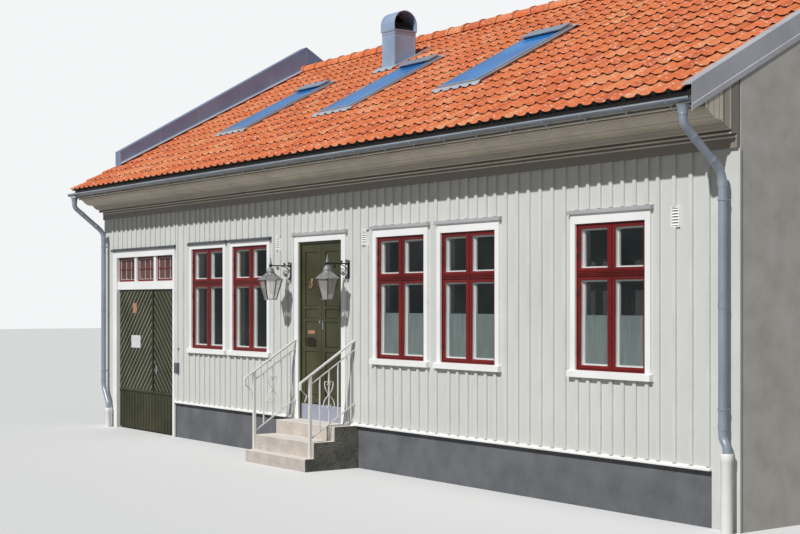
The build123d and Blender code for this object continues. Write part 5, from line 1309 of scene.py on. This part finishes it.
def slopeBox(built, side, x0, x1, s0, s1, n0, n1, arris=0.0):
    # a box that lies on the slope
    plan = ((x0, s0), (x1, s0), (x1, s1), (x0, s1))
    addCorners(built, [onSlope(side, x, s, n) for n in (n0, n1) for x, s in plan], arris)


# Felt at the eaves: the sheet, its turned edge and the plug under a roll go from one distance up
# the slope to another, and from one height over the slope to another
felt = {"ends": (0.01, 0.04), "sheet": (0.035, 0.40, -0.0615, -0.0590),
        "edge": (0.020, 0.024, -0.0600, -0.0400),
        "plug": (-0.002, 0.004, -0.0560, -0.0070), "plugHalf": 0.024, "arris": 0.001}


def eavesFeltPaintedShade():
    # black felt turned down over the deck's edge; its black is painted shade in the openings under the
    # rolls
    built = bmesh.new()
    x0, x1 = tileX0 + felt["ends"][0], tileX1 - felt["ends"][1]
    for side in (-1, 1):
        slopeBox(built, side, x0, x1, *felt["sheet"])
        slopeBox(built, side, x0, x1, *felt["edge"])
        # the open end of each roll is plugged with a dark comb, painted shade in the hollow under it
        for column in range(1, roof["columns"]):
            x = tileX0 + column * tileCover
            slopeBox(built, side, x - felt["plugHalf"], x + felt["plugHalf"], *felt["plug"], felt["arris"])
    addPiece("eavesFeltPaintedShade", built, feltAndShadeBlack, "roof_timber")


eavesFeltPaintedShade()

ridge = {"length": 0.40, "radius": 0.118, "collar": 0.129, "collarLength": 0.06, "arc": 96, "segments": 14,
         "thick": 0.014, "taper": 0.004, "spread": 0.25}


def ridgeRow():
    g = ridge
    low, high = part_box("ridge_tiles")
    count = round((high.x - low.x) / g["length"])
    step = (high.x - low.x) / count
    points, faces, toneAndEdgeShade = [], [], []
    centre = high.z - g["collar"] - 0.001

    def bow(x, radius):
        first = len(points)
        for k in range(g["segments"] + 1):
            a = math.radians(-g["arc"] + 2 * g["arc"] * k / g["segments"])
            points.append((x, ridgeY + radius * math.sin(a), centre + radius * math.cos(a)))
        return range(first, len(points))

    for number in range(count):
        x = low.x + number * step
        tone = firedTone(g["spread"])
        collarEnd = x + g["collarLength"]
        rings = [bow(x, g["collar"] - g["thick"]), bow(x, g["collar"]), bow(collarEnd, g["collar"]),
                 bow(collarEnd, g["radius"]), bow(x + step, g["radius"] - g["taper"])]
        # the collar's end and its step take dark values: painted shade at each lap
        for shade, a, b in zip((0.1, tone, 0.12, tone), rings, rings[1:]):
            for k in range(g["segments"]):
                faces.append((a[k], a[k + 1], b[k + 1], b[k]))
                toneAndEdgeShade.append(shade)
    addTiles("ridgeTileRow", points, faces, toneAndEdgeShade, "ridge_tiles")


ridgeRow()
print("tiles done")


def dressedSheet(built, x0, x1, s0, s1, flatEnd, lift=0.004):
    # thin sheet beaten down over the tile rolls: flat at flatEnd, fully dressed at the other end
    columns = max(int((x1 - x0) / tileCover * 12), 4)
    rows = 8
    grids = []
    for layer in (0, 1):
        grid = []
        for j in range(rows + 1):
            s = s0 + (s1 - s0) * j / rows
            share = min(max(1.25 * (abs(s - flatEnd) / (s1 - s0) - 0.15), 0), 1)
            row = []
            for i in range(columns + 1):
                x = x0 + (x1 - x0) * i / columns
                dressed = rollHeight(((x - tileX0) / tileCover) % 1) - roof["relief"]
                n = lift + dressed * share + 0.002 * math.sin(41 * x + 9 * j) * share
                row.append(built.verts.new(onSlope(-1, x, s, n + roofWindow["sheet"] * layer)))
            grid.append(row)
        grids.append(grid)
    for layer, grid in enumerate(grids):
        for low, high in zip(grid, grid[1:]):
            for i in range(columns):
                face = (low[i], low[i + 1], high[i + 1], high[i])
                built.faces.new(face if layer else face[::-1])
    border = [(0, i) for i in range(columns)] + [(j, columns) for j in range(rows)]
    border += [(rows, i) for i in range(columns, 0, -1)] + [(j, 0) for j in range(rows, 0, -1)]
    under, over = grids
    for (j, i), (k, m) in zip(border, border[1:] + border[:1]):
        built.faces.new((under[j][i], under[k][m], over[k][m], over[j][i]))


def roofWindowParts():
    w = roofWindow
    frames, aprons, panes = newMeshes(3)
    ring, proud, bead, side, rebate = w["ring"], w["proud"], w["bead"], w["side"], w["rebate"]
    s0, s1 = w["foot"], w["foot"] + w["length"]
    hoodFoot, lip = s1 - w["hood"], w["hoodEdge"]
    hoodLow, hoodTop = proud + w["hoodGap"], proud + w["hoodRise"]
    for left in w["lefts"]:
        x0 = station(left)
        x1 = x0 + w["width"]
        a, b, c, d = x0 + ring, x1 - ring, s0 + ring, s1 - ring
        for bar in ((x0, a, s0, s1), (b, x1, s0, s1), (a, b, s0, c), (a, b, d, s1)):
            slopeBox(frames, -1, *bar, -w["deep"], proud, 0.005)
        for bar in ((a, a + bead, c, d), (b - bead, b, c, d)):
            slopeBox(frames, -1, *bar, proud / 2, proud - 0.004, 0.002)
        slopeBox(frames, -1, x0 + lip, x1 - lip, hoodFoot, s1 - lip, hoodLow, hoodTop, 0.008)
        slopeBox(frames, -1, x0 + side, x1 - side, hoodFoot + w["hoodBack"], s1 - side,
                 proud - 0.002, hoodLow + 0.002)
        dressedSheet(aprons, x0 - w["apronSide"], x1 + w["apronSide"], s0 - w["apron"], s0 + 0.002, s0)
        for strip in (x0 - side, x1):
            slopeBox(aprons, -1, strip, strip + side, s0, s1 + side, 0.001, 0.004)
        slopeBox(aprons, -1, x0 - side, x1 + side, s1, s1 + w["above"], 0.001, 0.005)
        slopeBox(panes, -1, a - rebate, b + rebate, c - rebate, d + rebate, proud / 2, proud / 2 + 0.006)
    addPiece("roofWindowFrames", frames, gutterSheet, "grey_sheet_metal", "roof_window_frames")
    addPiece("roofWindowAprons", aprons, paleSheet, "grey_sheet_metal", "roof_window_frames", smooth=True)
    addPiece("roofWindowPanes", panes, roofPaneSkyReflection, "window_glass", "roof_window_glass")


roofWindowParts()


def stackParts():
    # sheet-clad vent stack in its recess, with a welted flashing, a banded head and the cowl over it
    p = stack
    built, trim, flashing, inner = newMeshes(4)
    y0, y1 = street(-p["front"]), street(-p["front"] - p["depth"])
    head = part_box("vent_stack")[1].z
    feet = [onSlope(-1, 0, s, p["sheetFoot"]).z for s in (stackS0, stackS1)]
    plan = ((stackX0, y0, feet[0]), (stackX1, y0, feet[0]), (stackX1, y1, feet[1]), (stackX0, y1, feet[1]))
    joinRings(built, [[built.verts.new((x, y, z)) for x, y, z in plan],
                      [built.verts.new((x, y, head)) for x, y, z in plan]])
    proud, half, sunk = p["seam"]
    for x, out in ((stackX1, 1), (stackX0, -1)):
        for share in p["seamShares"]:
            y = y0 + (y1 - y0) * share
            addBox(trim, x, x + out * proud, y - half, y + half,
                   onSlope(-1, 0, stackS0 + (stackS1 - stackS0) * share, sunk).z, head)
    for foot, top, reach in p["bands"]:
        a, b = stackX0 - reach, stackX1 + reach
        for bar in ((a, b, y0 - reach, y0), (a, b, y1, y1 + reach),
                    (a, stackX0, y0, y1), (stackX1, b, y0, y1)):
            addBox(trim, *bar, head - foot, head - top, 0.002)
    recess, before, behind = p["recess"], stackS0 - p["before"], stackS1 + p["behind"]
    edges = (stackX0 - p["side"], stackX1 + p["side"])
    slopeBox(flashing, -1, *edges, before, behind, recess - 0.004, recess)
    for x in edges:
        slopeBox(flashing, -1, x - 0.006, x + 0.006, before, behind + 0.05, recess, p["welt"], 0.002)
    skirt = p["skirt"]
    dressedSheet(flashing, stackX0 - skirt, stackX1 + skirt, stackS0 - skirt - p["skirtFoot"],
                 stackS0, stackS0, p["skirtLift"])
    addPiece("ventStackBody", built, stackSheet, "grey_sheet_metal", "vent_stack")
    addPiece("ventStackBands", trim, paleSheet, "grey_sheet_metal", "vent_stack")
    addPiece("ventStackFlashing", flashing, paleSheet, "grey_sheet_metal", "vent_stack", smooth=True)
    low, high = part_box("vent_cowl")
    # the flue head and baffle are black: painted shade inside the cowl
    for edge, foot, top, arris in p["flue"]:
        addBox(inner, stackX0 + edge, stackX1 - edge, y0 + edge, y1 - edge,
               low.z + foot, low.z + top, arris)
    # a baffle across the barrel keeps the rain out, so nothing is seen through it
    barrel = p["barrel"]
    radius = (high.y - low.y) / 2 - barrel
    spring = high.z - barrel - radius
    baffleFoot = low.z + barrel - spring
    baffle = [(-radius, baffleFoot), (radius, baffleFoot)] + arc(radius, 0, 180, 16)
    ends = [Vector((stackX0 + x, (low.y + high.y) / 2, spring)) for x in p["baffle"]]
    addPrism(inner, baffle, *ends, acrossY, upZ)
    addPiece("flueHeadPaintedShade", inner, feltAndShadeBlack, "grey_sheet_metal")


stackParts()


# Sheet work on the two ends of the roof
endSheets = {"seamPitch": 0.62, "seam": 0.014, "proud": 0.0015, "vergeDrop": 0.230, "foldHeight": 0.055,
             "vergeTop": 0.0245, "shoulder": 0.019, "capHalf": 0.012, "wallFoot": 0.22}


def addSlopePrism(built, section, y0, y1):
    # a closed (x, height over the roof line) section carried up the slope between two upright planes
    rings = []
    for y in (y0, y1):
        base = ridgeZ - abs(y - ridgeY) * math.tan(pitchAngle)
        rings.append([built.verts.new((x, y, base + rise)) for x, rise in section])
    joinRings(built, rings)


def vergeSheets(built, seams):
    e = endSheets
    low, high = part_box("verge_right")
    inner, outer = low.x, high.x
    top, shoulder, half = e["vergeTop"], e["shoulder"], e["capHalf"]
    drop = -e["vergeDrop"]
    fold = drop + e["foldHeight"]
    section = ((inner, 0.006), (inner, shoulder), (inner + 0.012, top), (outer - 0.012, top),
               (outer - 0.007, shoulder), (outer - 0.008, fold + 0.006), (outer, fold),
               (outer, drop + 0.008), (outer - 0.003, drop), (outer - 0.0095, drop),
               (outer - 0.0095, 0.006))
    cap = [(x, z) for x, z in rectangle(inner + 0.013, outer - 0.013, top, top + 0.0005)]
    for edge in (low.y, high.y):
        addSlopePrism(built, section, edge, ridgeY)
        count = int(abs(edge - ridgeY) / (2 * e["seamPitch"])) + 1
        for k in range(1, count):
            y = edge + (ridgeY - edge) * k / count
            addSlopePrism(seams, cap, y - half, y + half)


def upstandSheets(seams, strip):
    e = endSheets
    low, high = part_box("upstand_left")
    x, width, foot = high.x, e["seam"], e["wallFoot"]
    flat = [(x + reach, rise) for reach, rise in ((0, 0.004), (0, 0.030), (0.004, 0.030), (0.008, 0.010),
                                                  (0.085, 0.008), (0.085, 0.003))]
    for side, edge in ((-1, low.y), (1, high.y)):
        count = int(abs(edge - ridgeY) / e["seamPitch"])
        for k in range(count + 1):
            y = edge + (ridgeY - edge) * k / count
            rise = foot + (high.z - ridgeZ - foot) * k / count
            # the first and last seams lie inside the ends of the wall
            shift = -0.5 if 0 < k < count else (0 if (k == 0) == (side < 0) else -1)
            wall = ((x, -0.03), (x + e["proud"], -0.03), (x + e["proud"], rise - 0.035), (x, rise - 0.035))
            addSlopePrism(seams, wall, y + shift * width, y + (shift + 1) * width)
        addSlopePrism(strip, flat, edge, ridgeY + side * 0.10)


def roofEnds():
    built, seams, strip = newMeshes(3)
    vergeSheets(built, seams)
    upstandSheets(seams, strip)
    addPiece("vergeCapping", built, vergeSheet, "grey_sheet_metal", "verge_right")
    addPiece("sheetSeams", seams, gutterSheet, "grey_sheet_metal")
    addPiece("upstandFlashing", strip, paleSheet, "grey_sheet_metal")


roofEnds()
print("roof sheet work done")


# Gutters with a rolled lip and strap hooks, downpipes with rounded bends, ground pipes with collars
rainwater = {"level": 3.34, "reach": 0.62, "radius": 0.048, "strap": 0.002, "sheet": 0.003, "bead": 0.009,
             "hookPitch": 0.53, "hookWidth": 0.020, "fascia": 0.53, "pipe": 0.041, "gap": 0.064,
             "outlet": 0.062, "outletDrop": 0.145, "neckDrop": 0.080, "neckHeight": 0.410, "bend": 0.10,
             "footSlope": 0.7, "footLength": 0.060, "groundRadius": 0.060, "clipInset": 0.25,
             # each pipe: distance from the left party line, which way is out, crank of its foot, socket
             "pipes": ((0.20, -1, 0.20, 0.32), (houseLength - 0.11, -1, 0.05, 0.72),
                       (0.11, 1, -0.05, 0.72), (houseLength - 0.11, 1, 0.05, 0.72))}
gutterZ = above(rainwater["level"])


def gutterRuns():
    built, lipHighlights, hooks, stems = newMeshes(4)
    r = rainwater
    x0, x1 = (end.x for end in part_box("gutters"))
    radius, half = r["radius"] - r["strap"], r["hookWidth"] / 2
    outer, around = arc(radius, -180, 0, 20), arc(r["radius"], -180, 0, 20)
    hollow = arc(radius - r["sheet"], -180, 0, 20)[::-1]
    cap = [(a * 0.999, b * 0.999) for a, b in outer]
    for face, out in wallSides:
        middle = face + out * r["reach"]
        centre = Vector((0, middle, gutterZ))
        addBar(built, outer + hollow, x0, x1, middle, gutterZ, out)
        for x in (x0, x1 - 0.003):
            addBar(built, cap, x, x + 0.003, middle, gutterZ, out)
        bead = centre + acrossY * out * (radius - r["bead"]) - upZ * r["bead"]
        addTube(lipHighlights, [bead + acrossX * x for x in (x0, x1)], r["bead"], 12)
        count = int((x1 - x0) / r["hookPitch"])
        for k in range(count):
            x = x0 + (x1 - x0) * (k + 0.5) / count
            addBar(hooks, around + outer[::-1], x - half, x + half, middle, gutterZ, out)
            back = middle - out * r["radius"]
            addBox(hooks, x - half, x + half, back, face + out * r["fascia"], gutterZ - 0.004, gutterZ)
            addTube(stems, [centre + Vector((x, -out * reach, -drop)) for reach, drop in (
                (0.018, 0.052), (0.088, 0.100))], 0.0055, 8)
            addBox(hooks, x - 0.006, x + 0.006, back, middle + out * (radius - 0.01),
                   gutterZ - 0.003, gutterZ - 0.0005)
    slotName = "grey_rainwater_metal"
    # the trough's darker coating is painted shade on the gutter's body, and the pale lip a painted
    # highlight
    addPiece("gutterRuns", built, troughShade, slotName, "gutters", smooth=True)
    addPiece("gutterLipHighlights", lipHighlights, paleSheet, slotName, "gutters", smooth=True)
    addPiece("gutterHooks", hooks, gutterSheet, slotName, "gutters")
    addPiece("gutterHookStems", stems, paleSheet, slotName, "gutters")


def pipeRuns():
    pipes, ground = newMeshes(2)
    r = rainwater
    pipe, big = r["pipe"], r["groundRadius"]

    def collar(base, axis, length, lip, proud):
        addTurned(pipes, base, axis, ((0, pipe - 0.001), (lip, pipe + proud), (length - lip, pipe + proud),
                                      (length, pipe - 0.001)), 24)

    for distance, out, shift, foot in r["pipes"]:
        x, face = station(distance), wallFace if out < 0 else rearFace
        wallY = face + out * (r["gap"] + pipe)
        head = gutterZ - r["outletDrop"]
        neckHead = Vector((x, face + out * r["reach"], head - r["neckDrop"]))
        neckFoot = Vector((x, wallY, neckHead.z - r["neckHeight"]))
        bendFoot = foot + r["footLength"]
        bendHead = bendFoot + abs(shift) / r["footSlope"]
        route = [(x, neckHead.y, head + 0.02), neckHead, neckFoot, (x, wallY, bendHead),
                 (x + shift, wallY, bendFoot), (x + shift, wallY, foot - 0.04)]
        addTube(pipes, rounded(route, r["bend"], 8), pipe - 0.002, 24)
        addTurned(pipes, (x, neckHead.y, head - 0.012), upZ, (
            (0, pipe), (0.010, pipe + 0.004), (0.016, pipe + 0.002),
            (0.075, r["outlet"] - 0.010), (0.092, r["outlet"])), 24)
        slant = (neckFoot - neckHead).normalized()
        for share in (0.26, 0.74):
            collar(neckHead.lerp(neckFoot, share) - slant * 0.02, slant, 0.040, 0.002, 0.001)
        for z in (neckFoot.z - 0.10, (neckFoot.z + bendHead) / 2, bendHead + 0.10):
            collar((x, wallY, z - 0.03), upZ, 0.060, 0.002, 0.0015)
        for z in (bendHead + r["clipInset"], neckFoot.z - r["clipInset"]):
            collar((x, wallY, z), upZ, 0.025, 0.001, 0.004)
            addBox(pipes, x - 0.010, x + 0.010, face, wallY, z + 0.004, z + 0.021)
        addTurned(ground, (x + shift, wallY, 0.0), upZ, (
            (0, big - 0.005), (foot - 0.080, big - 0.005), (foot - 0.070, big), (foot - 0.006, big),
            (foot, big - 0.004), (foot - 0.012, pipe)), 28)
    addPiece("downpipeRuns", pipes, gutterSheet, "grey_rainwater_metal", "downpipes", smooth=True)
    addPiece("groundPipeSockets", ground, pipePlastic, "white_pipe_plastic", "ground_pipes", smooth=True)


gutterRuns()
pipeRuns()
print("rainwater goods done")


# Stage: the floor looks pale to the camera and sends less light back up than it seems to
def paleFloor():
    material, tree, _ = startMaterial("paleStudioFloor", {"Roughness": 0.9})
    rays = addNode(tree, "ShaderNodeLightPath").outputs
    seen = calculate(tree, "MAXIMUM", rays["Is Camera Ray"], rays["Is Glossy Ray"])
    seen = calculate(tree, "MAXIMUM", seen, rays["Is Transmission Ray"])
    tone = blendTones(tree, seen, linear("#93918e"), linear("#eaeae8"))
    tree.links.new(tone, tree.nodes["Principled BSDF"].inputs["Base Color"])
    return material


corners = [(-90, -60, 0), (60, -60, 0), (60, 120, 0), (-90, 120, 0)]
floor = addObject("studioFloor", pointMesh("studioFloor", corners, [(0, 1, 2, 3)]), (paleFloor(),))

studio = {"direction": (0.32, -1.0, 0.92), "strength": 3.3, "softness": 1.0, "fill": 0.17, "mirrored": 0.6}
scene = bpy.context.scene
keyLamp = bpy.data.lights.new("studioKey", "SUN")
keyLamp.energy = studio["strength"]
keyLamp.angle = math.radians(studio["softness"])
key = bpy.data.objects.new("studioKey", keyLamp)
scene.collection.objects.link(key)
key.rotation_euler = Vector(studio["direction"]).to_track_quat("Z", "Y").to_euler()

world = bpy.data.worlds.new("studioWorld")
scene.world = world
world.use_nodes = True
air = world.node_tree
air.nodes.clear()


def skyTone(hexCode, strength):
    inputs = {"Color": linear(hexCode), "Strength": strength}
    return addNode(air, "ShaderNodeBackground", inputs=inputs).outputs[0]


def mixedSky(amount, first, second):
    return addNode(air, "ShaderNodeMixShader", inputs={0: amount, 1: first, 2: second}).outputs[0]


rays = addNode(air, "ShaderNodeLightPath").outputs
seen = calculate(air, "MAXIMUM", rays["Is Camera Ray"], rays["Is Transmission Ray"])
around = mixedSky(rays["Is Glossy Ray"], skyTone("#e8effa", studio["fill"]),
                  skyTone("#c9d5e6", studio["mirrored"]))
addNode(air, "ShaderNodeOutputWorld", inputs={"Surface": mixedSky(seen, around, skyTone("#f4f5f6", 1.0))})

view = {"position": (15.262, wallFace - 9.806, 2.074), "heading": 54.19, "lens": 63.0, "shift": 0.044}
cameraData = bpy.data.cameras.new("photoView")
cameraData.lens = view["lens"]
cameraData.sensor_width = 36
cameraData.shift_y = view["shift"]
cameraData.clip_end = 500
camera = bpy.data.objects.new("photoView", cameraData)
camera.location = view["position"]
camera.rotation_euler = (math.radians(90), 0, math.radians(view["heading"]))
scene.collection.objects.link(camera)
scene.camera = camera
scene.view_settings.view_transform = "Standard"
print("stage, lights and camera set")
